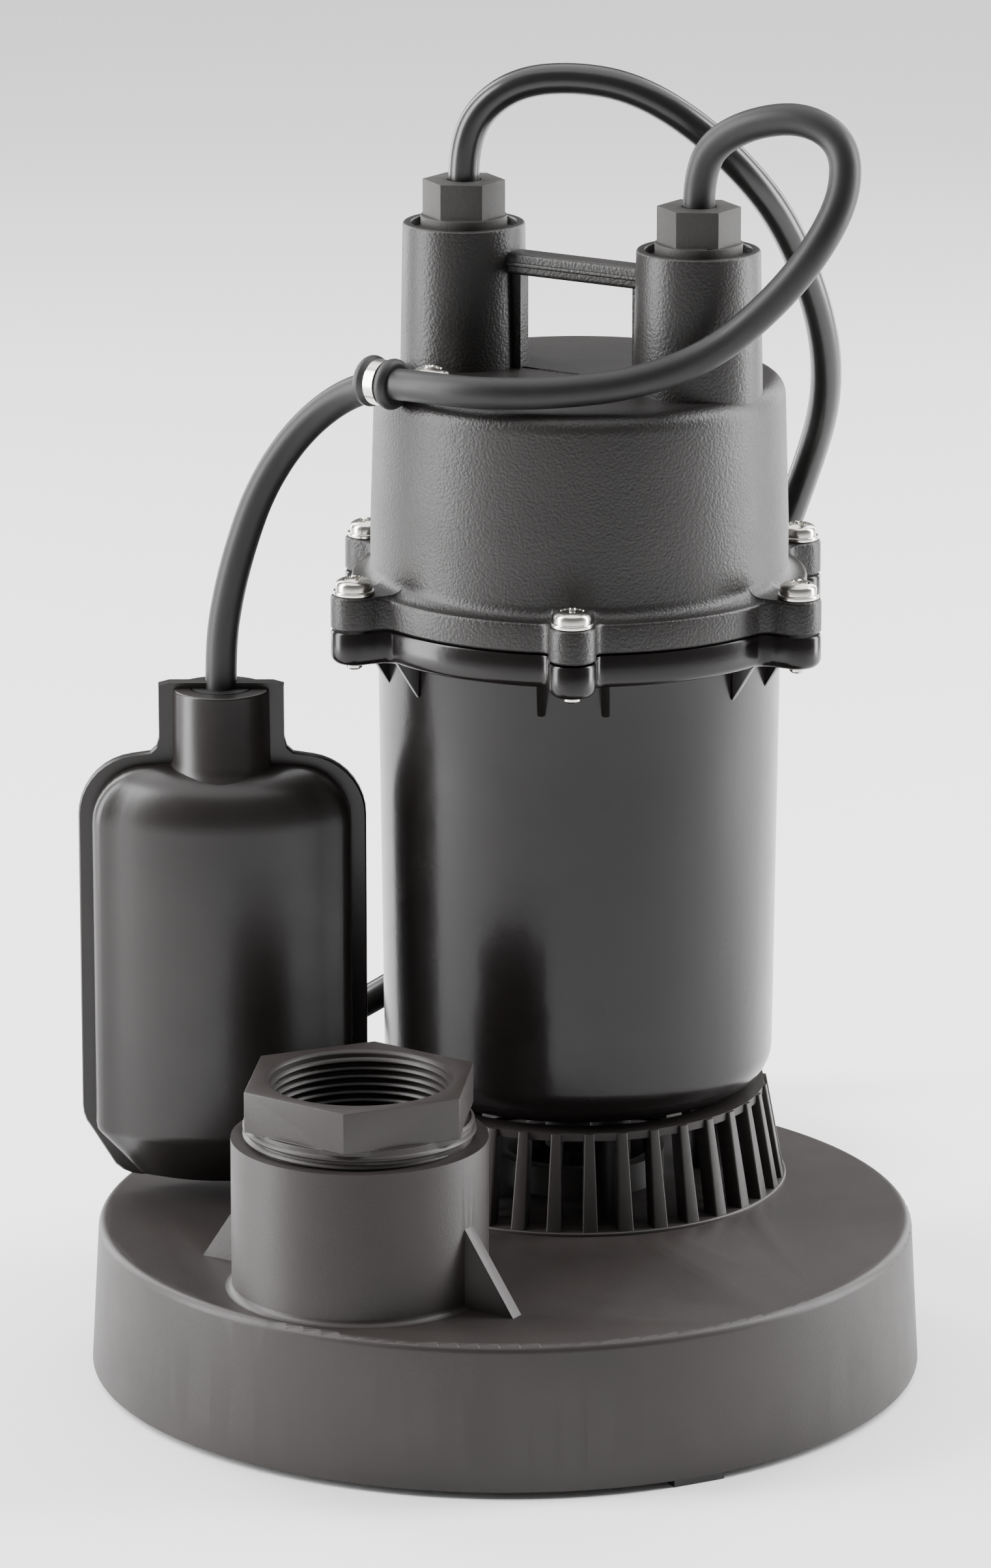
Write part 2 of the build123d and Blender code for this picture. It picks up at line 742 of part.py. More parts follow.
# Cord clip: a rubber lining, a band with its tab, and the screw
clip_across = (cos(radians(clip_turn)), sin(radians(clip_turn)), 0)
clip_along = (sin(radians(clip_turn)), -cos(radians(clip_turn)), 0)
clip_plane = Plane(origin=(clip_x, clip_y, clip_z), x_dir=clip_across, z_dir=clip_along)
rubber_radius = cord_radius + clip_rubber_wall
band_radius = rubber_radius + clip_band_wall
tab_bottom = cap_top
with BuildPart() as clip_rubber:
    with BuildSketch(clip_plane):
        Circle(rubber_radius)
        Circle(cord_radius, mode=Mode.SUBTRACT)
    extrude(amount=clip_rubber_length / 2, both=True)
pieces["clip_rubber"] = clip_rubber
with BuildPart() as clip_band:
    with BuildSketch(clip_plane):
        Circle(band_radius)
    extrude(amount=clip_band_length / 2, both=True)
    with BuildSketch(Plane(origin=(clip_x, clip_y, tab_bottom), x_dir=clip_across, z_dir=(0, 0, 1))):
        with Locations((clip_reach / 2, 0)):
            Rectangle(clip_reach, clip_tab_width)
        with Locations((clip_reach, 0)):
            Circle(clip_tab_width / 2)
            Circle(screw_radius, mode=Mode.SUBTRACT)
    extrude(amount=2 * clip_band_wall)
    with BuildSketch(clip_plane):
        Circle(rubber_radius)
    extrude(amount=clip_tab_width, both=True, mode=Mode.SUBTRACT)
pieces["clip_band"] = clip_band
pieces["clip_screw"] = screws(
    clip_screw, 0, 1, 0, tab_bottom + 2 * clip_band_wall, screw_head_height - 0.6, screw_head_radius,
    screw_radius, cap_top - cap_plate)

# Float: two welded half shells about an upright seam plane, with a neck that holds the cord
seam = radians(float_turn)
float_right = (cos(seam), sin(seam), 0)
float_front = (sin(seam), -cos(seam), 0)
float_centre = (float_x, float_y)
float_top = float_bottom + float_height


def float_half(front, wall):
    """Bulged half of the float's body, shrunk by a wall, on the front or the back of its seam."""
    half_width = float_width / 2 - wall
    bulge = float_depth / 2 - wall
    side = float_side - wall
    floor = Plane(origin=(float_x, float_y, float_bottom + wall), x_dir=float_right, z_dir=(0, 0, 1))
    with BuildPart() as half:
        with BuildSketch(floor):
            with BuildLine():
                Line((-half_width, 0), (half_width, 0))
                Line((half_width, 0), (half_width, -front * side))
                ThreePointArc((half_width, -front * side), (0, -front * bulge), (-half_width, -front * side))
                Line((-half_width, -front * side), (-half_width, 0))
            make_face()
        extrude(amount=float_height - 2 * wall)
        outer_faces = half.faces().sort_by(Axis(origin=(float_x, float_y, 0), direction=float_front))
        seam_face = outer_faces[0] if front > 0 else outer_faces[-1]
        top_edges = half.faces().sort_by(Axis.Z)[-1].edges() - seam_face.edges()
        fillet(top_edges, max(float_shoulder - wall, 2))
        low_edges = half.faces().sort_by(Axis.Z)[0].edges() - seam_face.edges()
        chamfer(low_edges, max(float_chamfer - wall, 2))
    return half


def float_shell(front):
    """Half shell with its half of the seam rim and of the neck."""
    outside = float_half(front, 0)
    inside = float_half(front, float_wall)
    seam_plane = Plane(origin=(float_x, float_y, 0), x_dir=float_right, z_dir=float_front)
    rim_half = float_rim_width / 2
    rim_low = float_bottom - 1
    rim_high = float_top + 3
    rim_corner = float_shoulder + 3
    with BuildPart() as shell:
        add(outside.part)
        with BuildSketch(seam_plane):
            with BuildLine():
                Polyline(
                    (-rim_half, rim_high - rim_corner),
                    (-rim_half, rim_low + float_chamfer + 4),
                    (-rim_half + float_chamfer + 2, rim_low),
                    (rim_half - float_chamfer - 2, rim_low),
                    (rim_half, rim_low + float_chamfer + 4),
                    (rim_half, rim_high - rim_corner),
                )
                TangentArc((rim_half, rim_high - rim_corner), (rim_half - rim_corner, rim_high), tangent=(0, 1))
                Line((rim_half - rim_corner, rim_high), (-rim_half + rim_corner, rim_high))
                TangentArc((-rim_half + rim_corner, rim_high), (-rim_half, rim_high - rim_corner), tangent=(-1, 0))
            make_face()
        extrude(amount=front * float_rim_thickness)
        with BuildSketch(seam_plane):
            with BuildLine():
                Polyline(
                    (-fin_reach, float_top - 2),
                    (fin_reach, float_top - 2),
                    (fin_reach, float_top + fin_height),
                    (-fin_reach, float_top + fin_height),
                    close=True,
                )
            make_face()
        extrude(amount=front * float_rim_thickness)
        with BuildSketch(Plane(origin=(float_x, float_y, float_top - 4), x_dir=float_right, z_dir=(0, 0, 1))):
            Circle(neck_radius)
            with Locations((0, front * 50)):
                Rectangle(200, 100, mode=Mode.SUBTRACT)
        extrude(amount=neck_height + 4)
        add(inside.part, mode=Mode.SUBTRACT)
        with BuildSketch(level(float_centre, float_top - 4 - float_wall)):
            Circle(neck_bore_radius)
        extrude(amount=fin_height + 12, mode=Mode.SUBTRACT)
    return shell


pieces["float_front_shell"] = float_shell(1)
pieces["float_back_shell"] = float_shell(-1)
neck_top = float_top + neck_height
pieces["float_grommet"] = ring(float_centre, float_top - 4, neck_height + 4, neck_bore_radius, cord_radius)
pieces["float_cord_end"] = ring(float_centre, float_top - 16, neck_height + 16, cord_radius)

# Switch inside the float: body, plunger, guide tube with the rolling ball, and the ballast
switch_bottom = float_top - 46
with BuildPart() as switch_body:
    with BuildSketch(Plane(origin=(float_x, float_y, switch_bottom), x_dir=float_right, z_dir=(0, 0, 1))):
        Rectangle(30, 18)
    extrude(amount=30)
pieces["switch_body"] = switch_body
pieces["switch_plunger"] = ring(float_centre, switch_bottom - 3, 3, 2.5)
guide_bottom = switch_bottom - 3 - ball_travel - 2 * switch_ball_radius - 1
pieces["ball_guide"] = spun(float_centre, (
    (0, guide_bottom - 2),
    (switch_ball_radius + 2.2, guide_bottom - 2),
    (switch_ball_radius + 2.2, switch_bottom),
    (switch_ball_radius + 0.2, switch_bottom),
    (switch_ball_radius + 0.2, guide_bottom),
    (0, guide_bottom),
))
with BuildPart() as switch_ball:
    with Locations((float_x, float_y, guide_bottom + switch_ball_radius + 0.1)):
        Sphere(switch_ball_radius)
pieces["switch_ball"] = switch_ball
with BuildPart() as ballast:
    ballast_floor = float_bottom + float_wall + 0.2
    with BuildSketch(Plane(origin=(float_x, float_y, ballast_floor), x_dir=float_right, z_dir=(0, 0, 1))):
        Rectangle(30, 13)
    extrude(amount=guide_bottom - 2 - ballast_floor)
pieces["ballast"] = ballast

# Routes of the cords: points above the cap's top, then down from the clip to the float's neck
above_cap = [
    (35.1, 41.2, 50.0),
    (35.1, 41.2, 57.0),
    (39.0, 41.0, 67.0),
    (51.0, 42.0, 74.0),
    (66.0, 43.5, 76.5),
    (77.7, 44.0, 70.8),
    (81.0, 39.5, 58.5),
    (77.5, 32.0, 44.8),
    (67.0, 27.0, 29.8),
    (52.0, 20.0, 15.0),
    (35.6, 8.5, 7.6),
    (18.3, -5.1, 5.5),
    (0.2, -15.0, 5.2),
    (-17.0, -13.8, 4.8),
    (-32.5, -10.0, 3.6),
    (-46.6, -9.6, -2.0),
]
float_cord_route = [(x, y, cap_top + z) for x, y, z in above_cap]
above_neck = [
    (-39.55, -9.8, 84.3),
    (-46.6, -9.6, 81.5),
    (-58.6, -13.0, 70.3),
    (-67.0, -17.6, 55.1),
    (-72.0, -21.0, 37.5),
    (-75.4, -22.6, 21.5),
    (-76.5, -23.2, 9.5),
    (-76.5, -23.2, 0.0),
]
tether_share = (cap_top + clip_exit_lift - neck_top) / tether_drop
tether_route = [(x, y, neck_top + z * tether_share) for x, y, z in above_neck]
power_run = [
    (-39.1, 41.2, 318.0),
    (-39.1, 41.2, 326.0),
    (-35.9, 43.4, 336.6),
    (-26.4, 48.4, 344.6),
    (-12.6, 54.6, 346.4),
    (2.0, 61.2, 344.0),
    (15.8, 68.6, 335.2),
    (27.5, 77.0, 322.0),
    (32.9, 88.8, 307.2),
    (35.5, 101.0, 287.0),
    (35.4, 110.0, 268.0),
    (31.5, 117.0, 250.0),
    (22.8, 124.0, 232.0),
    (7.8, 126.0, 196.0),
    (-8.1, 122.4, 158.0),
    (-27.9, 108.8, 124.0),
    (-49.1, 82.5, 100.0),
    (-75.4, 47.1, 77.4),
    (-105.7, 42.0, 60.0),
    (-131.0, 59.7, 28.0),
]
gland_share = gland_top / power_run[0][2]
power_cord_route = [(x, y, z * gland_share) for x, y, z in power_run]
power_cord_route += [
    (coil_x - coil_mean_radius, coil_y - 68.5, 5.0),
    (coil_x - coil_mean_radius, coil_y - 28.5, 4.5),
]
pieces["float_cord_loop"] = cord("float_cord_loop", float_cord_route[:-1] + [tether_route[0]])
pieces["float_tether"] = cord("float_tether", tether_route)
pieces["power_cord"] = cord("power_cord", power_cord_route)

# Coil of the power cord on the floor, its tail over the coil's top, and the plug
coil_width = coil_columns * 2 * cord_radius
coil_height = coil_layers * 2 * cord_radius
coil_centre = (coil_x, coil_y)
pieces["power_cord_coil"] = ring(
    coil_centre, 0.1, coil_height, coil_mean_radius + coil_width / 2, coil_mean_radius - coil_width / 2)


def on_coil(turn, height, reach=coil_mean_radius):
    """Point above the coil at an angle about its axis."""
    return (coil_x + reach * cos(radians(turn)), coil_y + reach * sin(radians(turn)), height)


plug_axis = coil_height + 0.1 + plug_height / 2
tail_lift = coil_height + 0.2 + cord_radius
plug_turn = 126.0
corner_reach = coil_mean_radius / cos(radians(16))
plug_rear = Vector(*on_coil(plug_turn, plug_axis))
plug_ahead = Vector(sin(radians(plug_turn)), -cos(radians(plug_turn)), 0)
tail_route = [
    on_coil(238, coil_height - cord_radius + 2),
    on_coil(212, tail_lift, corner_reach),
    on_coil(182, tail_lift + 0.3, corner_reach),
    on_coil(156, plug_axis, corner_reach),
    tuple(plug_rear - plug_ahead * 10),
    tuple(plug_rear),
]
pieces["power_cord_tail"] = cord("power_cord_tail", tail_route)
plug_plane = Plane(origin=tuple(plug_rear), x_dir=(0, 0, 1), z_dir=tuple(plug_ahead))
with BuildPart() as plug_body:
    with BuildSketch(plug_plane):
        RectangleRounded(plug_height * 0.7, plug_width * 0.6, 4)
    with BuildSketch(plug_plane.offset(plug_length * 0.6)):
        RectangleRounded(plug_height, plug_width, 4)
    loft()
    with BuildSketch(plug_plane.offset(plug_length * 0.6)):
        RectangleRounded(plug_height, plug_width, 4)
    extrude(amount=plug_length * 0.4)
pieces["plug_body"] = plug_body
blade_plane = plug_plane.offset(plug_length)
with BuildPart() as plug_blades:
    with BuildSketch(blade_plane):
        with Locations((ground_pin_drop / 2, -blade_spacing / 2), (ground_pin_drop / 2, blade_spacing / 2)):
            Rectangle(blade_width, blade_thickness)
        with Locations((-ground_pin_drop, 0)):
            Circle(ground_pin_radius)
    extrude(amount=blade_length)
pieces["plug_blades"] = plug_blades

os.makedirs("parts", exist_ok=True)
for label, piece in pieces.items():
    piece.part.label = label
    export_step(piece.part, f"parts/{label}.step")
print(len(pieces), "sub-parts")
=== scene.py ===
"""Looks of a submersible sump pump with a tethered float switch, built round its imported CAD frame."""
import json
import logging
import math
from dataclasses import dataclass, field
from enum import Enum
from typing import Iterable, Sequence

import bmesh
import bpy
from mathutils import Matrix, Vector


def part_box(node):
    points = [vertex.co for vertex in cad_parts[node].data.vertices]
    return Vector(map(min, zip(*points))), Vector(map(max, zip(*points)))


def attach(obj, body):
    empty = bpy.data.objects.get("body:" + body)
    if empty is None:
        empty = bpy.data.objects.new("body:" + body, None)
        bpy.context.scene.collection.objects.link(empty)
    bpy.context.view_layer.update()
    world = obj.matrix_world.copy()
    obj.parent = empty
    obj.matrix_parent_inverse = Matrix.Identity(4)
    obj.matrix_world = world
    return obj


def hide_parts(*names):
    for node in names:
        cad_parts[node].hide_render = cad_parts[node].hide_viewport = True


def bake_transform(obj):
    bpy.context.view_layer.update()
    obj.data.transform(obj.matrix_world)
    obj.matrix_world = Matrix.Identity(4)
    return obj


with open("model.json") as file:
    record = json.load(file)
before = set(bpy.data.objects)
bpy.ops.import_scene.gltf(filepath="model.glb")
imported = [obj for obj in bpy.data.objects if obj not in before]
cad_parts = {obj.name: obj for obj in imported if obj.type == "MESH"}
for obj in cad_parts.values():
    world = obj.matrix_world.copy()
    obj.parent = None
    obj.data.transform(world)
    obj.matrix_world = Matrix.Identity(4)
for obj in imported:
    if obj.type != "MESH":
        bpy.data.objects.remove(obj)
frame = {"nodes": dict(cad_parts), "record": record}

log = logging.getLogger("sump_pump")
MM = 0.001
Point = tuple[float, float, float]
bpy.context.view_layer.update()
NODES: dict[str, bpy.types.Object] = frame["nodes"]


class Grain(Enum):
    """Surface relief of a finish."""

    LEATHER = "leather"
    PEEL = "peel"
    FINE = "fine"
    DRAWN = "drawn"


@dataclass(frozen=True)
class Finish:
    """One procedural finish, whose patterns are read from object coordinates in metres."""

    name: str
    colour: tuple[float, float, float]
    roughness: float
    grain: Grain
    grain_size: float
    relief: float
    metallic: float = 0.0
    specular: float = 0.5
    coat: float = 0.0
    coat_roughness: float = 0.2
    mottle: float = 0.25
    roughness_spread: float = 0.06

    def build(self) -> bpy.types.Material:
        """Make the node material.

        Returns:
            The finished material.
        """
        material = bpy.data.materials.new(self.name)
        material.use_nodes = True
        tree = material.node_tree
        shader = tree.nodes["Principled BSDF"]
        for key, value in (("Metallic", self.metallic), ("Specular IOR Level", self.specular),
                           ("Coat Weight", self.coat), ("Coat Roughness", self.coat_roughness)):
            shader.inputs[key].default_value = value
        place = tree.nodes.new("ShaderNodeTexCoord")
        relief = self._relief(tree, place.outputs["Object"])
        bump = tree.nodes.new("ShaderNodeBump")
        bump.inputs["Strength"].default_value = 1.0
        bump.inputs["Distance"].default_value = self.relief
        tree.links.new(relief, bump.inputs["Height"])
        tree.links.new(bump.outputs["Normal"], shader.inputs["Normal"])
        cloud = self._noise(tree, place.outputs["Object"], 0.030, 5.0)
        tint = tree.nodes.new("ShaderNodeValToRGB")
        low, high = tint.color_ramp.elements
        low.position, high.position = 0.3, 0.72
        low.color = tuple(c * (1 - self.mottle) for c in self.colour) + (1.0,)
        high.color = tuple(min(c * (1 + self.mottle), 1.0) for c in self.colour) + (1.0,)
        tree.links.new(cloud, tint.inputs["Fac"])
        tree.links.new(tint.outputs["Color"], shader.inputs["Base Color"])
        sheen = self._noise(tree, place.outputs["Object"], 0.012, 3.0)
        span = tree.nodes.new("ShaderNodeMapRange")
        span.inputs["To Min"].default_value = self.roughness - self.roughness_spread
        span.inputs["To Max"].default_value = self.roughness + self.roughness_spread
        tree.links.new(sheen, span.inputs["Value"])
        tree.links.new(span.outputs["Result"], shader.inputs["Roughness"])
        return material

    def _noise(self, tree: bpy.types.NodeTree, where: bpy.types.NodeSocket, size: float,
               detail: float) -> bpy.types.NodeSocket:
        """Add a noise texture whose features are about size metres across."""
        noise = tree.nodes.new("ShaderNodeTexNoise")
        noise.inputs["Scale"].default_value = 1.0 / size
        noise.inputs["Detail"].default_value = detail
        noise.inputs["Roughness"].default_value = 0.55
        tree.links.new(where, noise.inputs["Vector"])
        return noise.outputs["Fac"]

    def _relief(self, tree: bpy.types.NodeTree, where: bpy.types.NodeSocket) -> bpy.types.NodeSocket:
        """Add the height pattern of the grain and return its output."""
        if self.grain is Grain.LEATHER:
            warp = tree.nodes.new("ShaderNodeTexVoronoi")
            warp.feature = "SMOOTH_F1"
            warp.inputs["Scale"].default_value = 1.0 / self.grain_size
            warp.inputs["Smoothness"].default_value = 0.6
            tree.links.new(where, warp.inputs["Vector"])
            fine = self._noise(tree, where, self.grain_size * 0.9, 2.0)
            total = tree.nodes.new("ShaderNodeMath")
            total.operation = "SUBTRACT"
            tree.links.new(fine, total.inputs[0])
            tree.links.new(warp.outputs["Distance"], total.inputs[1])
            return total.outputs["Value"]
        if self.grain is Grain.DRAWN:
            stretch = tree.nodes.new("ShaderNodeMapping")
            stretch.inputs["Scale"].default_value = (1.0, 1.0, 12.0)
            tree.links.new(where, stretch.inputs["Vector"])
            return self._noise(tree, stretch.outputs["Vector"], self.grain_size, 3.0)
        detail = 1.5 if self.grain is Grain.PEEL else 4.0
        return self._noise(tree, where, self.grain_size, detail)


FINISHES = {
    "cap_coat": Finish("cap_leather_coat", (0.0095, 0.0080, 0.0075), 0.43, Grain.LEATHER, 0.0008, 0.00008,
                       specular=0.44, coat=0.0),
    "painted_metal": Finish("housing_baked_coat", (0.0050, 0.0039, 0.0037), 0.25, Grain.PEEL, 0.0022, 0.00003,
                            specular=0.26, coat=0.11, coat_roughness=0.12),
    "base_plastic": Finish("base_moulded_plastic", (0.0190, 0.0152, 0.0142), 0.46, Grain.FINE, 0.0007, 0.00004,
                           specular=0.40, mottle=0.12),
    "gland_plastic": Finish("gland_moulded_plastic", (0.030, 0.028, 0.0265), 0.6, Grain.FINE, 0.0006, 0.00009,
                            specular=0.35),
    "float_plastic": Finish("float_moulded_plastic", (0.0100, 0.0078, 0.0073), 0.36, Grain.PEEL, 0.0012, 0.00002,
                            specular=0.38, coat=0.08, coat_roughness=0.2),
    "rubber": Finish("soft_rubber", (0.007, 0.007, 0.007), 0.5, Grain.FINE, 0.0008, 0.00003),
    "float_cable": Finish("rubber_cable_sheath", (0.0095, 0.0092, 0.0092), 0.48, Grain.FINE, 0.0009, 0.00003,
                          specular=0.35),
    "power_cable": Finish("vinyl_cable_sheath", (0.0075, 0.0072, 0.0070), 0.3, Grain.PEEL, 0.0030, 0.00004,
                          specular=0.4, coat=0.2),
    "stainless": Finish("polished_stainless", (0.66, 0.64, 0.60), 0.2, Grain.FINE, 0.0012, 0.00001,
                        metallic=1.0, mottle=0.08),
    "core_steel": Finish("bare_core_steel", (0.36, 0.36, 0.37), 0.35, Grain.DRAWN, 0.002, 0.00003, metallic=1.0),
    "aluminium": Finish("cast_aluminium", (0.66, 0.67, 0.68), 0.42, Grain.FINE, 0.0012, 0.00005, metallic=1.0),
    "bracket_iron": Finish("machined_iron", (0.16, 0.16, 0.165), 0.5, Grain.FINE, 0.001, 0.00008, metallic=0.9),
    "ceramic": Finish("lapped_ceramic", (0.82, 0.80, 0.74), 0.22, Grain.FINE, 0.001, 0.00001, mottle=0.05),
    "copper": Finish("enamelled_copper", (0.55, 0.22, 0.09), 0.32, Grain.DRAWN, 0.0012, 0.0002, metallic=0.8),
    "switch_plastic": Finish("grey_switch_plastic", (0.16, 0.165, 0.17), 0.5, Grain.FINE, 0.0008, 0.00004),
    "brass": Finish("plated_brass", (0.68, 0.56, 0.30), 0.25, Grain.DRAWN, 0.001, 0.00001, metallic=1.0),
}


class Paint:
    """The materials, made once each."""

    def __init__(self) -> None:
        """Start with nothing built."""
        self._made: dict[str, bpy.types.Material] = {}

    def get(self, key: str) -> bpy.types.Material:
        """Return the material of a finish, building it the first time."""
        if key not in self._made:
            self._made[key] = FINISHES[key].build()
        return self._made[key]


PAINT = Paint()


def mm(x: float, y: float, z: float) -> Point:
    """Turn a point in millimetres into metres."""
    return (x * MM, y * MM, z * MM)


def linked(name: str, data: bpy.types.ID) -> bpy.types.Object:
    """Make an object of some data and link it into the scene."""
    thing = bpy.data.objects.new(name, data)
    bpy.context.scene.collection.objects.link(thing)
    return thing


def evaluated(holder: bpy.types.Object) -> bpy.types.Mesh:
    """Take an object's mesh as its modifiers leave it, and remove the object."""
    bpy.context.view_layer.update()
    mesh = bpy.data.meshes.new_from_object(holder.evaluated_get(bpy.context.evaluated_depsgraph_get()))
    bpy.data.objects.remove(holder)
    return mesh


def standing(x: float, y: float) -> Matrix:
    """Place for a plate that stands upright along X, at a point in millimetres."""
    return Matrix.Translation(mm(x, y, 0)) @ Matrix.Rotation(math.pi / 2, 4, "X")


def wrap_mesh(name: str, mesh: bpy.types.Mesh, finish: str, smooth_angle: float = 35.0) -> bpy.types.Object:
    """Link a mesh as an object at the origin with its finish and with sharp edges kept by angle.

    Args:
        name: The piece's name.
        mesh: Its mesh, with its place in its vertices.
        finish: Key of the finish.
        smooth_angle: Edges that turn by more than this many degrees stay sharp.

    Returns:
        The new object.
    """
    mesh.name = name
    mesh.materials.clear()
    mesh.materials.append(PAINT.get(finish))
    piece = linked(name, mesh)
    for face in mesh.polygons:
        face.use_smooth = True
    mesh.set_sharp_from_angle(angle=math.radians(smooth_angle))
    return piece


def settle(piece: bpy.types.Object, body: str, replaced: Iterable[str] = ()) -> bpy.types.Object:
    """Put a piece on its body and hide the nodes that it stands for."""
    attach(piece, body)
    names = list(replaced)
    if names:
        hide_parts(*names)
    log.info("%s rides on %s, %d faces", piece.name, body, len(piece.data.polygons))
    return piece


def mesh_from(vertices: Sequence[Sequence[float]], faces: Sequence[Sequence[int]]) -> bpy.types.Mesh:
    """Make a mesh whose normals point outwards."""
    mesh = bpy.data.meshes.new("raw")
    mesh.from_pydata([tuple(v) for v in vertices], [], [tuple(f) for f in faces])
    work = bmesh.new()
    work.from_mesh(mesh)
    bmesh.ops.remove_doubles(work, verts=work.verts, dist=1e-6)
    bmesh.ops.recalc_face_normals(work, faces=work.faces)
    work.to_mesh(mesh)
    work.free()
    return mesh


def join(name: str, parts: Sequence[bpy.types.Mesh]) -> bpy.types.Mesh:
    """Join meshes into one."""
    work = bmesh.new()
    for part in parts:
        work.from_mesh(part)
    joined = bpy.data.meshes.new(name)
    work.to_mesh(joined)
    work.free()
    return joined


def stacked(loops: Sequence[Sequence[Point]], closed: bool = True) -> bpy.types.Mesh:
    """Skin a stack of loops with as many points each, and cap both ends unless the stack closes on itself."""
    count = len(loops[0])
    vertices = [point for loop in loops for point in loop]
    faces: list[list[int]] = []
    for row in range(len(loops) - 1):
        for i in range(count):
            j = (i + 1) % count
            faces.append([row * count + i, row * count + j, (row + 1) * count + j, (row + 1) * count + i])
    if closed:
        faces.append(list(range(count)))
        faces.append([(len(loops) - 1) * count + i for i in range(count)])
    return mesh_from(vertices, faces)


def lathe(profile: Sequence[tuple[float, float]], centre: tuple[float, float], steps: int = 96,
          ring: bool = False) -> bpy.types.Mesh:
    """Turn a profile of (radius, height) in millimetres about an upright axis.

    Args:
        profile: Points from one end of the surface to the other.
        centre: The axis, in millimetres.
        steps: Points round the axis.
        ring: Whether the profile is a closed loop.

    Returns:
        The closed mesh, in metres.
    """
    rows = list(profile) + [profile[0]] if ring else list(profile)
    loops = []
    for radius, height in rows:
        loop = []
        for i in range(steps):
            turn = 2 * math.pi * i / steps
            loop.append(mm(centre[0] + radius * math.cos(turn), centre[1] + radius * math.sin(turn), height))
        loops.append(loop)
    return stacked(loops, closed=not ring)


def arc(cx: float, cy: float, radius: float, start: float, end: float, steps: int = 6) -> list[tuple[float, float]]:
    """Points on an arc about (cx, cy) from one angle to another, in degrees."""
    turns = [math.radians(start + (end - start) * i / steps) for i in range(steps + 1)]
    return [(cx + radius * math.cos(turn), cy + radius * math.sin(turn)) for turn in turns]


def plate(outline: Sequence[tuple[float, float]], place: Matrix, thickness: float) -> bpy.types.Mesh:
    """Thick plate with eased edges: an outline in the local X-Y plane, in millimetres, thickened along Z."""
    ease = min(thickness * 0.22, 0.5)
    loops = []
    middle = Vector((sum(p[0] for p in outline), sum(p[1] for p in outline))) / len(outline)
    for height, inset in ((-thickness / 2, ease), (-thickness / 2 + ease, 0.0), (thickness / 2 - ease, 0.0),
                          (thickness / 2, ease)):
        loop = []
        for x, y in outline:
            pull = (middle - Vector((x, y))).normalized() * inset
            loop.append(tuple(place @ Vector(mm(x + pull.x, y + pull.y, height))))
        loops.append(loop)
    return stacked(loops)


def softened(node: str, width: float, segments: int = 3) -> bpy.types.Mesh:
    """Copy of a CAD node's mesh with its sharp edges rounded.

    Args:
        node: Name of the CAD node.
        width: Width of the rounding in millimetres.
        segments: Steps across the rounding.

    Returns:
        The new mesh.
    """
    mesh = NODES[node].data.copy()
    work = bmesh.new()
    work.from_mesh(mesh)
    bmesh.ops.remove_doubles(work, verts=work.verts, dist=2e-6)
    bmesh.ops.dissolve_limit(work, angle_limit=math.radians(0.6), verts=work.verts, edges=work.edges)
    work.to_mesh(mesh)
    work.free()
    holder = linked("holder", mesh)
    bevel = holder.modifiers.new("ease", "BEVEL")
    bevel.width = width * MM
    bevel.segments = segments
    bevel.limit_method = "ANGLE"
    bevel.angle_limit = math.radians(38)
    return evaluated(holder)


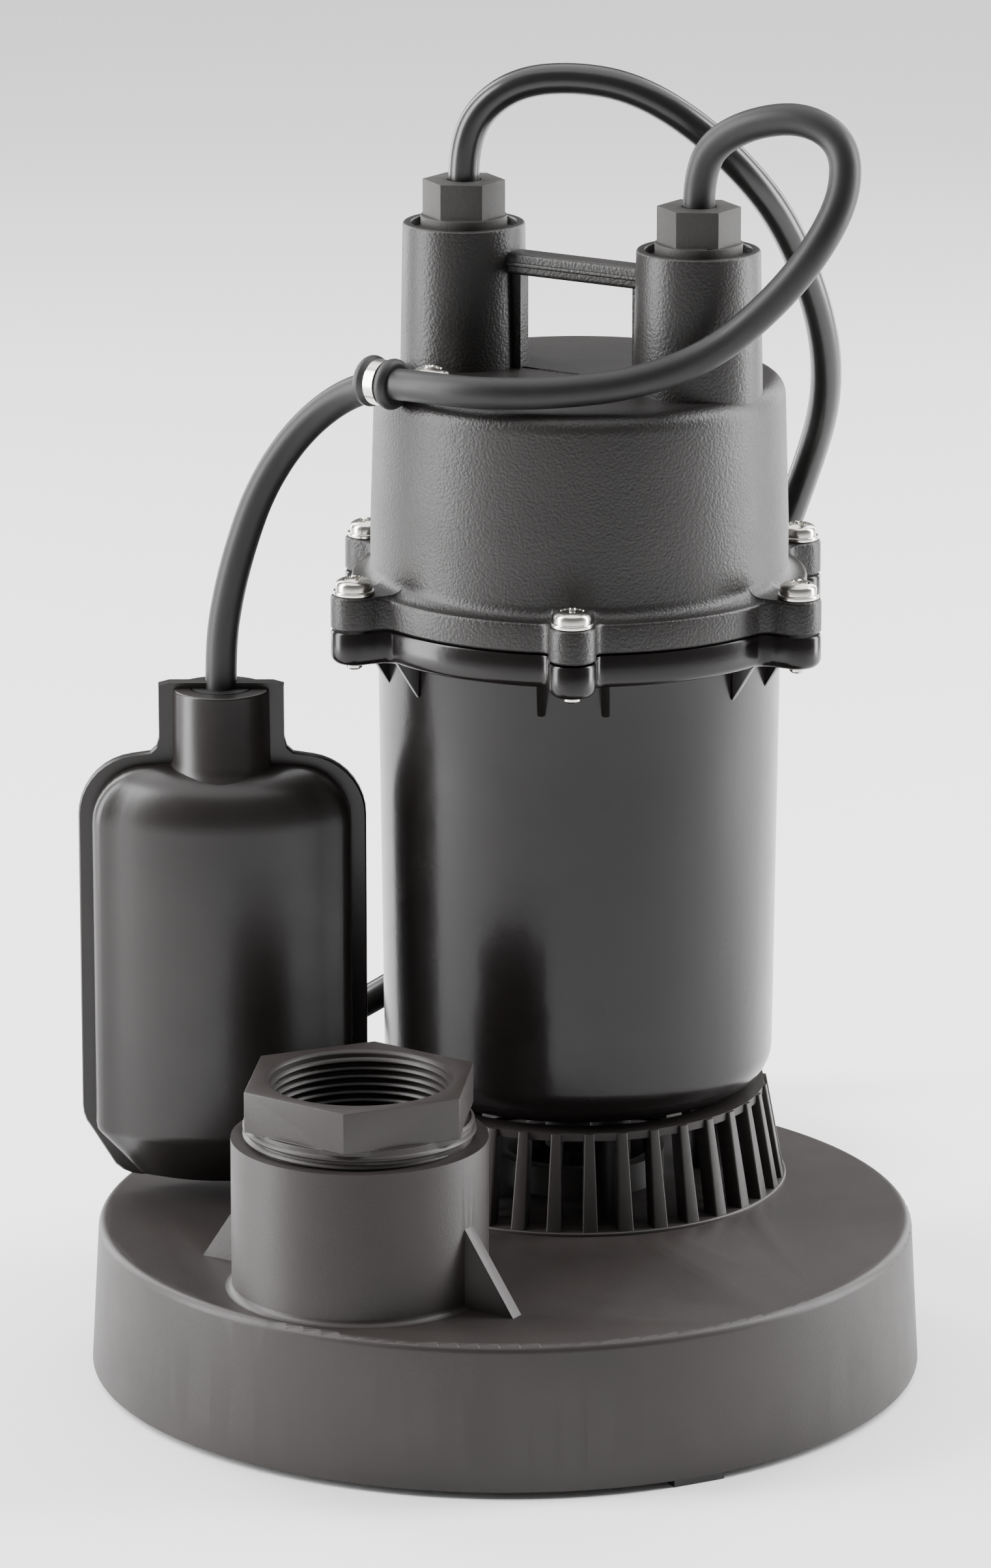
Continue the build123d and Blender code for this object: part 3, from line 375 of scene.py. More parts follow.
class PolarArray:
    """Geometry Nodes tree that repeats a mesh about an upright axis, its +X pointing outwards."""

    def __init__(self, name: str) -> None:
        """Build the tree with its named inputs."""
        self.tree = bpy.data.node_groups.new(name, "GeometryNodeTree")
        face = self.tree.interface
        face.new_socket(name="Geometry", in_out="INPUT", socket_type="NodeSocketGeometry")
        self.count, self.radius, self.turn, self.centre, self.finish = (
            face.new_socket(name=name, in_out="INPUT", socket_type=f"NodeSocket{kind}").identifier
            for name, kind in (("Count", "Int"), ("Radius", "Float"), ("Turn", "Vector"), ("Centre", "Vector"),
                               ("Finish", "Material")))
        face.new_socket(name="Geometry", in_out="OUTPUT", socket_type="NodeSocketGeometry")
        new, link = self.tree.nodes.new, self.tree.links.new
        given, result = new("NodeGroupInput"), new("NodeGroupOutput")
        circle = new("GeometryNodeMeshCircle")
        link(given.outputs["Count"], circle.inputs["Vertices"])
        link(given.outputs["Radius"], circle.inputs["Radius"])
        share = new("ShaderNodeMath")
        share.operation = "DIVIDE"
        share.inputs[0].default_value = 2 * math.pi
        link(given.outputs["Count"], share.inputs[1])
        angle = new("ShaderNodeMath")
        angle.operation = "MULTIPLY"
        link(new("GeometryNodeInputIndex").outputs["Index"], angle.inputs[0])
        link(share.outputs["Value"], angle.inputs[1])
        euler = new("ShaderNodeCombineXYZ")
        link(angle.outputs["Value"], euler.inputs["Z"])
        copies = new("GeometryNodeInstanceOnPoints")
        link(circle.outputs["Mesh"], copies.inputs["Points"])
        link(given.outputs["Geometry"], copies.inputs["Instance"])
        link(euler.outputs["Vector"], copies.inputs["Rotation"])
        move = new("GeometryNodeTransform")
        link(copies.outputs["Instances"], move.inputs["Geometry"])
        link(given.outputs["Centre"], move.inputs["Translation"])
        link(given.outputs["Turn"], move.inputs["Rotation"])
        real = new("GeometryNodeRealizeInstances")
        link(move.outputs["Geometry"], real.inputs["Geometry"])
        dress = new("GeometryNodeSetMaterial")
        link(real.outputs["Geometry"], dress.inputs["Geometry"])
        link(given.outputs["Finish"], dress.inputs["Material"])
        link(dress.outputs["Geometry"], result.inputs["Geometry"])

    def repeat(self, name: str, unit: bpy.types.Mesh, count: int, radius: float, turn: float, centre: Point,
               finish: str, smooth_angle: float = 35.0) -> bpy.types.Object:
        """Repeat a unit round an axis and return one plain mesh piece.

        Args:
            name: The piece's name.
            unit: Mesh in metres about its own origin, pointing along +X.
            count: Number of copies.
            radius: Distance of the unit's origin from the axis, in millimetres.
            turn: Angle of the first copy, in degrees.
            centre: The axis and the height, in millimetres.
            finish: Key of the finish.
            smooth_angle: Edges that turn by more than this many degrees stay sharp.

        Returns:
            The finished piece.
        """
        holder = linked("holder", unit)
        modifier = holder.modifiers.new("polar", "NODES")
        modifier.node_group = self.tree
        modifier[self.count] = count
        modifier[self.radius] = radius * MM
        modifier[self.turn] = (0.0, 0.0, math.radians(turn))
        modifier[self.centre] = mm(*centre)
        modifier[self.finish] = PAINT.get(finish)
        return wrap_mesh(name, evaluated(holder), finish, smooth_angle)


@dataclass
class Axis:
    """Upright axis read from a round CAD node, in millimetres."""

    node: str
    x: float = field(init=False)
    y: float = field(init=False)
    low: float = field(init=False)
    high: float = field(init=False)

    def __post_init__(self) -> None:
        """Read the node's box."""
        lowest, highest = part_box(self.node)
        self.x = (lowest.x + highest.x) / 2 / MM
        self.y = (lowest.y + highest.y) / 2 / MM
        self.low = lowest.z / MM
        self.high = highest.z / MM

    @property
    def centre(self) -> tuple[float, float]:
        """The axis as a pair."""
        return (self.x, self.y)


@dataclass(frozen=True)
class CameraRig:
    """Long-lens camera a little above the pump, to the right of its discharge."""

    azimuth: float = 32.1
    elevation: float = 15.11
    distance: float = 2.05392
    aim_height: float = 0.1632
    lens: float = 174.89
    sensor: float = 36.0
    shift: tuple[float, float] = (-0.00618, -0.00065)

    def build(self) -> None:
        """Make the camera and set it as the scene's."""
        data = bpy.data.cameras.new("camera")
        data.lens = self.lens
        data.sensor_width = self.sensor
        data.shift_x, data.shift_y = self.shift
        data.clip_end = 50.0
        camera = linked("camera", data)
        turn, rise = math.radians(self.azimuth), math.radians(self.elevation)
        back = Vector((math.sin(turn) * math.cos(rise), -math.cos(turn) * math.cos(rise), math.sin(rise)))
        camera.location = Vector((0, 0, self.aim_height)) + back * self.distance
        camera.rotation_euler = back.to_track_quat("Z", "Y").to_euler()
        bpy.context.scene.camera = camera


@dataclass(frozen=True)
class Studio:
    """Pale floor, tall soft boxes at both sides, and a soft light overhead."""

    floor_size: float = 14.0
    azimuth: float = 32.1
    world_strength: float = 0.24
    sun_strength: float = 3.5
    boxes: tuple[tuple[str, float, float, float, tuple[float, float], float], ...] = (
        ("left_box", -86, 1.05, 0.50, (0.42, 1.5), 40), ("right_box", 101, 1.05, 0.50, (0.36, 1.4), 34),
        ("back_left_box", -138, 1.5, 0.7, (0.5, 1.5), 26), ("back_right_box", 145, 1.5, 0.7, (0.5, 1.5), 18),
    )

    def build(self) -> None:
        """Make the floor, the lights and the world."""
        half = self.floor_size / 2
        corners = [(-half, -half, 0), (half, -half, 0), (half, half, 0), (-half, half, 0)]
        mesh = mesh_from(corners, [(0, 1, 2, 3)])
        material = bpy.data.materials.new("pale_floor")
        material.use_nodes = True
        shader = material.node_tree.nodes["Principled BSDF"]
        shader.inputs["Base Color"].default_value = (0.93, 0.93, 0.93, 1.0)
        shader.inputs["Roughness"].default_value = 0.9
        shader.inputs["Specular IOR Level"].default_value = 0.1
        mesh.materials.append(material)
        floor = linked("floor", mesh)
        world = bpy.data.worlds.new("studio_world")
        world.use_nodes = True
        world.node_tree.nodes["Background"].inputs["Color"].default_value = (1.0, 1.0, 1.0, 1.0)
        world.node_tree.nodes["Background"].inputs["Strength"].default_value = self.world_strength
        bpy.context.scene.world = world
        for box in self.boxes:
            self._box(*box)
        data = bpy.data.lights.new("overhead", "SUN")
        data.energy, data.angle = self.sun_strength, math.radians(80)
        light = linked("overhead", data)
        light.rotation_euler = (math.radians(-12), 0, math.radians(self.azimuth))

    def _box(self, name: str, turn: float, reach: float, height: float, size: tuple[float, float],
             power: float) -> None:
        """Hang a soft box at an angle from the camera's side, facing the pump."""
        data = bpy.data.lights.new(name, "AREA")
        data.shape = "RECTANGLE"
        data.size, data.size_y = size
        data.energy = power
        light = linked(name, data)
        angle = math.radians(self.azimuth + turn)
        light.location = (math.sin(angle) * reach, -math.cos(angle) * reach, height)
        facing = Vector((0, 0.03, 0.18)) - Vector(light.location)
        light.rotation_euler = facing.to_track_quat("-Z", "Y").to_euler()


@dataclass
class Cords:
    """The float's cord and the power cord with its coil, tail and plug."""

    radius: float = 4.3
    coil_centre: tuple[float, float] = (-78.0, 162.5)
    coil_radii: tuple[float, float] = (51.9, 43.1)
    coil_pitch: float = 8.75
    coil_steps: int = 14
    float_route: tuple[Point, ...] = (
        (35.1, 41.2, 318.0), (35.1, 41.2, 325.0), (39.0, 41.0, 335.0), (51.0, 42.0, 342.0),
        (66.0, 43.5, 344.5), (77.7, 44.0, 338.8), (81.0, 39.5, 326.5), (77.5, 32.0, 312.8),
        (67.0, 27.0, 297.8), (52.0, 20.0, 283.0), (35.6, 8.5, 275.6), (18.3, -5.1, 273.5),
        (0.2, -15.0, 273.2), (-17.0, -13.8, 272.8), (-32.5, -10.0, 271.6), (-46.6, -9.6, 266.0),
        (-58.6, -13.0, 254.8), (-67.0, -17.6, 239.6), (-72.0, -21.0, 222.0), (-75.4, -22.6, 206.0),
        (-76.5, -23.2, 194.0), (-76.5, -23.2, 184.5),
    )
    power_route: tuple[Point, ...] = (
        (-39.1, 41.2, 318.0), (-39.1, 41.2, 326.0), (-35.9, 43.4, 336.6), (-26.4, 48.4, 344.6),
        (-12.6, 54.6, 346.4), (2.0, 61.2, 344.0), (15.8, 68.6, 335.2), (27.5, 77.0, 322.0),
        (32.9, 88.8, 307.2), (35.5, 101.0, 287.0), (35.4, 110.0, 268.0), (31.5, 117.0, 250.0),
        (22.8, 124.0, 232.0), (7.8, 126.0, 196.0), (-8.1, 122.4, 158.0), (-27.9, 108.8, 124.0),
        (-49.1, 82.5, 100.0), (-75.4, 47.1, 77.4), (-105.7, 42.0, 60.0), (-131.0, 59.7, 28.0),
        (-127.5, 94.0, 5.0), (-129.4, 134.0, 4.5),
    )

    def build(self) -> None:
        """Make both cords and the coil's tie."""
        self._float_cord()
        self._power_cord()
        self._tie()

    def _line(self, name: str, points: Sequence[Point]) -> bpy.types.Object:
        """Curve with one NURBS spline whose control points are given in millimetres."""
        curve = bpy.data.curves.new(name, "CURVE")
        curve.dimensions = "3D"
        curve.resolution_u = 8
        spline = curve.splines.new("NURBS")
        spline.points.add(len(points) - 1)
        for target, point in zip(spline.points, points):
            target.co = (*mm(*point), 1.0)
        spline.order_u = 3
        spline.use_endpoint_u = True
        return linked(name, curve)

    def _followed(self, name: str, points: Sequence[Point]) -> list[Vector]:
        """Points along the smooth line of a route."""
        line = evaluated(self._line(name, points))
        found = [vertex.co.copy() for vertex in line.vertices]
        bpy.data.meshes.remove(line)
        return found

    def _tube(self, path: Sequence[Vector], sides: int = 20) -> bpy.types.Mesh:
        """Round tube about a path, its rings turned as little as can be."""
        ahead = [(path[min(i + 1, len(path) - 1)] - path[max(i - 1, 0)]).normalized() for i in range(len(path))]
        across = ahead[0].orthogonal().normalized()
        loops = []
        for point, way in zip(path, ahead):
            across = (across - way * across.dot(way)).normalized()
            third = way.cross(across)
            loop = []
            for i in range(sides):
                turn = 2 * math.pi * i / sides
                offset = across * math.cos(turn) + third * math.sin(turn)
                loop.append(tuple(point + offset * self.radius * MM))
            loops.append(loop)
        return stacked(loops)

    def _length(self, path: Sequence[Vector]) -> float:
        """Length of a path in metres."""
        return sum((b - a).length for a, b in zip(path, path[1:]))

    def _float_cord(self) -> None:
        """Rubber cord from its gland through the clip to the float."""
        path = self._followed("float_cord_line", self.float_route)
        piece = wrap_mesh("float_cord", self._tube(path), "float_cable")
        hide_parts("float_cord_loop", "float_tether")
        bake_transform(piece)
        log.info("float cord %.3f m", self._length(path))

    def _coil_points(self) -> list[Point]:
        """Turns of the coil, outwards and inwards by layers, clockwise from above."""
        order = [(layer, column if layer % 2 == 0 else 1 - column) for layer in range(4) for column in (0, 1)]
        points = []
        for turn, (layer, column) in enumerate(order):
            following = order[min(turn + 1, len(order) - 1)]
            for step in range(self.coil_steps):
                share = step / self.coil_steps
                change = max(0.0, (share - 0.72) / 0.28)
                blend = change * change * (3 - 2 * change)
                here, ahead = self.coil_radii[column], self.coil_radii[following[1]]
                radius = here + (ahead - here) * blend
                height = self.radius + 0.15 + self.coil_pitch * (layer + (following[0] - layer) * blend)
                angle = math.radians(180 - 360 * share - 8)
                reach = radius / math.cos(math.pi / self.coil_steps)
                points.append((self.coil_centre[0] + reach * math.cos(angle),
                               self.coil_centre[1] + reach * math.sin(angle), height))
        return points

    def _power_cord(self) -> None:
        """Vinyl cord from its gland down behind the housing, through the coil to the plug."""
        _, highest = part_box("power_cord_tail")
        tail = TailRoute(self.coil_centre, highest.z / MM - self.radius).points()
        points = list(self.power_route) + self._coil_points() + tail
        path = self._followed("power_cord_line", points)
        piece = wrap_mesh("power_supply_cord", self._tube(path, 14), "power_cable")
        settle(piece, "pump", ["power_cord", "power_cord_coil", "power_cord_tail"])
        log.info("power cord %.3f m", self._length(path))

    def _tie(self) -> None:
        """Strap round the coil's section."""
        middle = sum(self.coil_radii) / 2
        half_width = (self.coil_radii[0] - self.coil_radii[1]) / 2 + self.radius + 0.7
        half_height = self.coil_pitch * 1.5 + self.radius + 0.7
        section = arc(half_width - 4, half_height - 4, 4, 0, 90) + arc(-half_width + 4, half_height - 4, 4, 90, 180)
        section += arc(-half_width + 4, -half_height + 4, 4, 180, 270)
        section += arc(half_width - 4, -half_height + 4, 4, 270, 360)
        turn = math.radians(75)
        outwards = Vector((math.cos(turn), math.sin(turn), 0))
        along = Vector((-math.sin(turn), math.cos(turn), 0))
        base = Vector((self.coil_centre[0], self.coil_centre[1], half_height + 0.1)) + outwards * middle
        loops = []
        for side, shrink in ((-3, 0.0), (3, 0.0), (3, 0.6), (-3, 0.6), (-3, 0.0)):
            loop = []
            for x, y in section:
                scale = 1 - shrink / math.hypot(x, y)
                spot = base + outwards * x * scale + Vector((0, 0, y * scale)) + along * side
                loop.append(tuple(spot * MM))
            loops.append(loop)
        settle(wrap_mesh("coil_tie", stacked(loops, closed=False), "rubber"), "pump")


@dataclass(frozen=True)
class TailRoute:
    """The stretch of the power cord that lies on the coil's top and goes into the plug."""

    centre: tuple[float, float]
    height: float
    mean_radius: float = 47.5
    plug_turn: float = 126.0

    def points(self) -> list[Point]:
        """Control points from the coil's top to the plug's rear, in millimetres."""
        corner = self.mean_radius / math.cos(math.radians(16))
        top = self.height - 4.6
        route = [self._at(212, top, corner), self._at(182, top + 0.3, corner), self._at(156, self.height, corner)]
        rear = Vector(self._at(self.plug_turn, self.height, self.mean_radius))
        turn = math.radians(self.plug_turn)
        ahead = Vector((math.sin(turn), -math.cos(turn), 0))
        route.append(tuple(rear - ahead * 10))
        route.append(tuple(rear + ahead * 0.5))
        return route

    def _at(self, turn: float, height: float, reach: float) -> Point:
        """Point about the coil's axis."""
        angle = math.radians(turn)
        return (self.centre[0] + reach * math.cos(angle), self.centre[1] + reach * math.sin(angle), height)


@dataclass
class FlangeOutline:
    """Outline of a flange with six ears, as directions, so that loops above and below it can follow."""

    centre: tuple[float, float]
    band: float = 62.0
    ear_circle: float = 68.8
    ear_radius: float = 6.3
    ears: int = 6
    blend_radius: float = 3.0

    def __post_init__(self) -> None:
        """Lay out one sector and repeat it."""
        side = self.ear_radius
        root = side + self.blend_radius
        foot_radius = self.band + self.blend_radius
        root_x = math.sqrt(foot_radius**2 - root**2)
        start = math.degrees(math.atan2(root, root_x))
        sector: list[tuple[float, float, float]] = []
        for x, y in arc(self.ear_circle, 0, side, 0, 90, 9):
            sector.append((x, y, 1.0))
        sector.append((root_x + 1.5, side, 1.0))
        for share in (0.0, 0.35, 0.7, 1.0):
            turn = math.radians(-90 - share * (90 - start))
            sector.append((root_x + self.blend_radius * math.cos(turn),
                           root + self.blend_radius * math.sin(turn), 0.8 - share * 0.8))
        first = math.degrees(math.atan2(sector[-1][1], sector[-1][0]))
        for i in range(1, 9):
            turn = math.radians(first + (30 - first) * i / 8)
            sector.append((self.band * math.cos(turn), self.band * math.sin(turn), 0.0))
        mirrored = [(x, -y, ear) for x, y, ear in reversed(sector[1:-1])]
        self.points: list[tuple[float, float, float]] = []
        for index in range(self.ears):
            turn = 2 * math.pi * index / self.ears
            for x, y, ear in mirrored + sector:
                self.points.append((x * math.cos(turn) - y * math.sin(turn),
                                    x * math.sin(turn) + y * math.cos(turn), ear))

    def loop(self, inset: float, height: float, ear_lift: float = 0.0) -> list[Point]:
        """The outline, moved inwards, at a height that may differ at the ears."""
        found = []
        count = len(self.points)
        for i, (x, y, ear) in enumerate(self.points):
            before, after = self.points[i - 1], self.points[(i + 1) % count]
            way = Vector((after[0] - before[0], after[1] - before[1])).normalized()
            found.append(mm(self.centre[0] + x - way.y * inset, self.centre[1] + y + way.x * inset,
                            height + ear_lift * ear))
        return found

    def circle(self, radius: float, height: float, ear_lift: float = 0.0) -> list[Point]:
        """A circle whose points lie in the outline's directions."""
        found = []
        for x, y, ear in self.points:
            reach = math.hypot(x, y)
            found.append(mm(self.centre[0] + x / reach * radius, self.centre[1] + y / reach * radius,
                            height + ear_lift * ear))
        return found


@dataclass
class Cap:
    """Leather-grained cap with its flange, gland towers and bar handle."""

    foot_radius: float = 57.2
    top_radius: float = 55.8
    edge: float = 5.0
    fillet: float = 4.0
    band_height: float = 8.2
    ear_lift: float = 1.2
    tower_offset: float = 37.1
    tower_radius: float = 16.7
    tower_foot: float = 17.4
    recess_radius: float = 14.3
    recess_depth: float = 2.4
    top: float = 268.0
    tower_top: float = 306.4

    def build(self, motor: Axis, parting: float) -> None:
        """Make the cap's piece.

        Args:
            motor: The motor's axis.
            parting: Height of the joint between the cap and the housing.
        """
        outline = FlangeOutline(motor.centre)
        top = self.top
        band_top = parting + self.band_height
        rows = [outline.circle(48.0, parting + 0.1), outline.circle(60.0, parting + 0.1),
                outline.loop(1.0, parting + 0.1), outline.loop(0.35, parting + 0.25),
                outline.loop(0.0, parting + 0.7), outline.loop(0.0, band_top - 0.9, self.ear_lift)]
        for turn in (30, 60, 90):
            ease = math.radians(turn)
            rows.append(outline.loop(0.9 * (1 - math.cos(ease)), band_top - 0.9 + 0.9 * math.sin(ease),
                                     self.ear_lift))
        for x, z in arc(self.foot_radius + self.fillet - 0.3, band_top + self.fillet, self.fillet, 270, 180, 7):
            rows.append(outline.circle(x, z, self.ear_lift * max(0.0, 1 - (z - band_top) / self.fillet)))
        for share in (0.25, 0.5, 0.75):
            height = band_top + self.fillet + share * (top - self.edge - band_top - self.fillet)
            rows.append(outline.circle(self.foot_radius + (self.top_radius - self.foot_radius) * share, height))
        for x, z in arc(self.top_radius - self.edge, top - self.edge, self.edge, 0, 90, 8):
            rows.append(outline.circle(x, z))
        rows += [outline.circle(radius, top) for radius in (38.0, 20.0, 4.0)]
        parts = [stacked(rows)]
        for side in (-1, 1):
            parts.append(self._tower((motor.x + side * self.tower_offset, motor.y), top))
        parts += self._handle(motor, top)
        piece = wrap_mesh("cap", join("cap", parts), "cap_coat", 30)
        settle(piece, "pump", ["top_cap"])

    def _tower(self, centre: tuple[float, float], top: float) -> bpy.types.Mesh:
        """Drafted tower with a recess for the gland's collar."""
        rim = self.tower_top
        profile = [(2.0, top - 8), (self.tower_foot, top - 8), (self.tower_foot, top + 1.5)]
        profile += arc(self.tower_radius - 0.8, rim - 0.8, 0.8, 0, 90, 4)
        profile += arc(self.recess_radius + 0.5, rim - 0.5, 0.5, 90, 180, 3)
        profile += [(self.recess_radius, rim - self.recess_depth), (6.0, rim - self.recess_depth)]
        return lathe(profile, centre, 72)

    def _handle(self, motor: Axis, top: float) -> list[bpy.types.Mesh]:
        """Bar with its parting ridge, the two webs under its ends, and the ridge across the cap."""
        half = self.tower_offset - self.tower_radius + 1.0
        bar = self._bar(half, 294.0, 300.0, 3.75, motor)
        ridge = self._bar(half, 296.4, 297.6, 4.3, motor)
        parts = [bar, ridge]
        for side in (-1, 1):
            reach = 3.2
            middle = side * (self.tower_offset - self.tower_radius - reach / 2 + 0.4)
            outline = [(middle - reach / 2, top - 1), (middle + reach / 2, top - 1),
                       (middle + reach / 2, 294.5), (middle - reach / 2, 294.5)]
            parts.append(plate(outline, standing(motor.x, motor.y), 4.0))
        seam = [(-20.0, top - 0.5), (20.0, top - 0.5), (20.0, top + 0.35), (-20.0, top + 0.35)]
        parts.append(plate(seam, standing(motor.x, motor.y), 1.0))
        return parts

    def _bar(self, half: float, low: float, high: float, depth: float, motor: Axis) -> bpy.types.Mesh:
        """Round-cornered bar along X."""
        ease = min(1.2, (high - low) * 0.4)
        section = []
        for corner, (sx, sz) in enumerate(((1, 1), (-1, 1), (-1, -1), (1, -1))):
            section += arc(sx * (depth - ease), (high + low) / 2 + sz * ((high - low) / 2 - ease), ease,
                           90 * corner, 90 * corner + 90, 4)
        loops = []
        for x in (-half, half):
            loops.append([mm(motor.x + x, motor.y + y, z) for y, z in section])
        return stacked(loops)


@dataclass
class Housing:
    """Baked-coat motor housing with a rolled flange, eared, and ribs under the ears."""

    top_radius: float = 54.9
    bottom_radius: float = 53.6
    corner: float = 10.5
    lip: float = 9.5
    rib_drop: float = 9.5
    rib_reach: float = 6.5
    rib_side: float = 8.6
    rib_thickness: float = 2.2

    def build(self, motor: Axis, parting: float, polar: PolarArray) -> None:
        """Make the housing's piece and its ribs."""
        outline = FlangeOutline(motor.centre)
        low, bottom = parting - self.lip, motor.low
        rows = [outline.circle(46.0, parting - 0.9), outline.loop(2.2, parting - 0.9),
                outline.loop(1.3, parting - 0.45), outline.loop(0.35, parting - 0.4),
                outline.loop(0.0, parting - 0.9), outline.loop(0.0, low + 2.6)]
        for turn in (20, 40, 60, 80, 90):
            ease = math.radians(turn)
            rows.append(outline.loop(2.6 * (1 - math.cos(ease)), low + 2.6 * (1 - math.sin(ease))))
        for x, z in arc(self.top_radius + 1.8, low - 1.8, 1.8, 90, 180, 4):
            rows.append(outline.circle(x, z))
        foot = bottom + self.corner
        for share in (0.25, 0.5, 0.75):
            rows.append(outline.circle(self.top_radius + (self.bottom_radius - self.top_radius) * share,
                                       low - 1.8 + (foot - low + 1.8) * share))
        for x, z in arc(self.bottom_radius - self.corner, foot, self.corner, 0, -90, 9):
            rows.append(outline.circle(x, z))
        rows += [outline.circle(radius, bottom) for radius in (30.0, 14.0)]
        piece = wrap_mesh("housing", stacked(rows), "painted_metal", 40)
        settle(piece, "pump", ["motor_housing"])
        inner, drop = self.top_radius - 1.0, self.rib_drop
        ribs = []
        for side in (-1, 1):
            outline_points = [(inner, low + 0.5), (inner + self.rib_reach, low + 0.5), (inner + 0.3, low - drop)]
            ribs.append(plate(outline_points, standing(0, side * self.rib_side), self.rib_thickness))
        piece = polar.repeat("housing_ribs", join("ribs", ribs), FlangeOutline.ears, 0.0001, 0, (motor.x, motor.y, 0),
                             "painted_metal", 30)
        settle(piece, "pump")


@dataclass
class Screws:
    """Polished pan-head screws with a cross recess, on split washers."""

    head_radius: float = 5.0
    head_height: float = 4.2
    recess: float = 3.1
    slot_half: float = 0.75
    slot_depth: float = 1.9

    def head(self) -> bpy.types.Mesh:
        """One head about its own axis, standing on z = 0, with its cross recess."""
        steps, rings = 64, 26
        vertices: list[Point] = []
        faces: list[list[int]] = []
        for ring in range(rings + 1):
            radius = self.head_radius * ring / rings
            for i in range(steps):
                turn = 2 * math.pi * (i + 0.5) / steps
                x, y = radius * math.cos(turn), radius * math.sin(turn)
                vertices.append(mm(x, y, self._top(x, y, radius)))
        last = rings * steps
        for ring in range(rings):
            for i in range(steps):
                j = (i + 1) % steps
                faces.append([ring * steps + i, ring * steps + j, (ring + 1) * steps + j, (ring + 1) * steps + i])
        base = len(vertices)
        for i in range(steps):
            turn = 2 * math.pi * (i + 0.5) / steps
            vertices.append(mm(self.head_radius * math.cos(turn), self.head_radius * math.sin(turn), 0.0))
        for i in range(steps):
            j = (i + 1) % steps
            faces.append([last + i, last + j, base + j, base + i])
        faces.append([base + i for i in range(steps)])
        return mesh_from(vertices, faces)

    def _top(self, x: float, y: float, radius: float) -> float:
        """Height of the head's surface: a dome with a rolled rim, cut by the recess."""
        share = radius / self.head_radius
        dome = self.head_height * (0.34 + 0.50 * math.sqrt(max(0.0, 1 - share**2.2)))
        arm = min(abs(x), abs(y))
        reach = max(abs(x), abs(y))
        if arm < self.slot_half and reach < self.recess:
            fade = min(1.0, (self.recess - reach) / 0.7)
            wall = min(1.0, (self.slot_half - arm) / 0.18)
            dome -= self.slot_depth * fade * wall
        return dome

    def washer(self, radius: float, thickness: float) -> bpy.types.Mesh:
        """Washer below z = 0 with eased edges."""
        profile = arc(radius - 0.3, -0.3, 0.3, 90, 0, 3) + arc(radius - 0.3, -thickness + 0.3, 0.3, 0, -90, 3)
        profile += [(2.3, -thickness), (2.3, 0.0)]
        return lathe(profile, (0, 0), 48, ring=True)

    def tip(self, depth: float, radius: float = 2.2) -> bpy.types.Mesh:
        """Lower end of the shank, down to a depth below z = 0."""
        profile = [(0.01, -depth + 4), (radius, -depth + 4), (radius, -depth + 0.5), (radius - 0.5, -depth),
                   (0.01, -depth)]
        return lathe(profile, (0, 0), 24)


@dataclass
class Screen:
    """Flared slats of the intake, with the rings that hold them."""

    slats: int = 36
    first: float = 5.0
    top_radius: float = 52.4
    bottom_radius: float = 57.4
    top_width: float = 2.7
    bottom_width: float = 4.2
    depth: float = 5.0

    def build(self, motor: Axis, polar: PolarArray) -> None:
        """Make the slats and the rings as one assembly of two pieces."""
        lowest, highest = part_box("intake_screen")
        low, high = lowest.z / MM, highest.z / MM
        loops = []
        for share in (0.0, 0.33, 0.66, 1.0):
            outer = self.bottom_radius + (self.top_radius - self.bottom_radius) * share
            half = (self.bottom_width + (self.top_width - self.bottom_width) * share) / 2
            height = low + 0.2 + (high - low - 0.3) * share
            inner = outer - self.depth
            ease = 0.45
            section = arc(outer - ease, half - ease, ease, 0, 90, 3) + arc(inner + ease, half - ease, ease, 90, 180, 2)
            section += arc(inner + ease, -half + ease, ease, 180, 270, 2)
            section += arc(outer - ease, -half + ease, ease, 270, 360, 3)
            loops.append([mm(x, y, height) for x, y in section])
        piece = polar.repeat("screen_slats", stacked(loops), self.slats, 0.0001, self.first,
                             (motor.x, motor.y, 0), "base_plastic")
        settle(piece, "pump", ["intake_screen"])
        ring_low = arc(self.bottom_radius, low + 0.5, 0.5, 90, 0, 3) + [(self.bottom_radius + 0.5, low)]
        ring_low += [(self.bottom_radius - 6.5, low), (self.bottom_radius - 6.5, low + 1.0)]
        ring_high = [(self.top_radius - 0.8, high - 2.2), (self.top_radius - 0.8, high), (self.top_radius - 8, high),
                     (self.top_radius - 8, high - 2.2)]
        rings = [lathe(ring_low, motor.centre, 144, ring=True), lathe(ring_high, motor.centre, 144, ring=True)]
        settle(wrap_mesh("screen_rings", join("rings", rings), "base_plastic", 40), "pump")


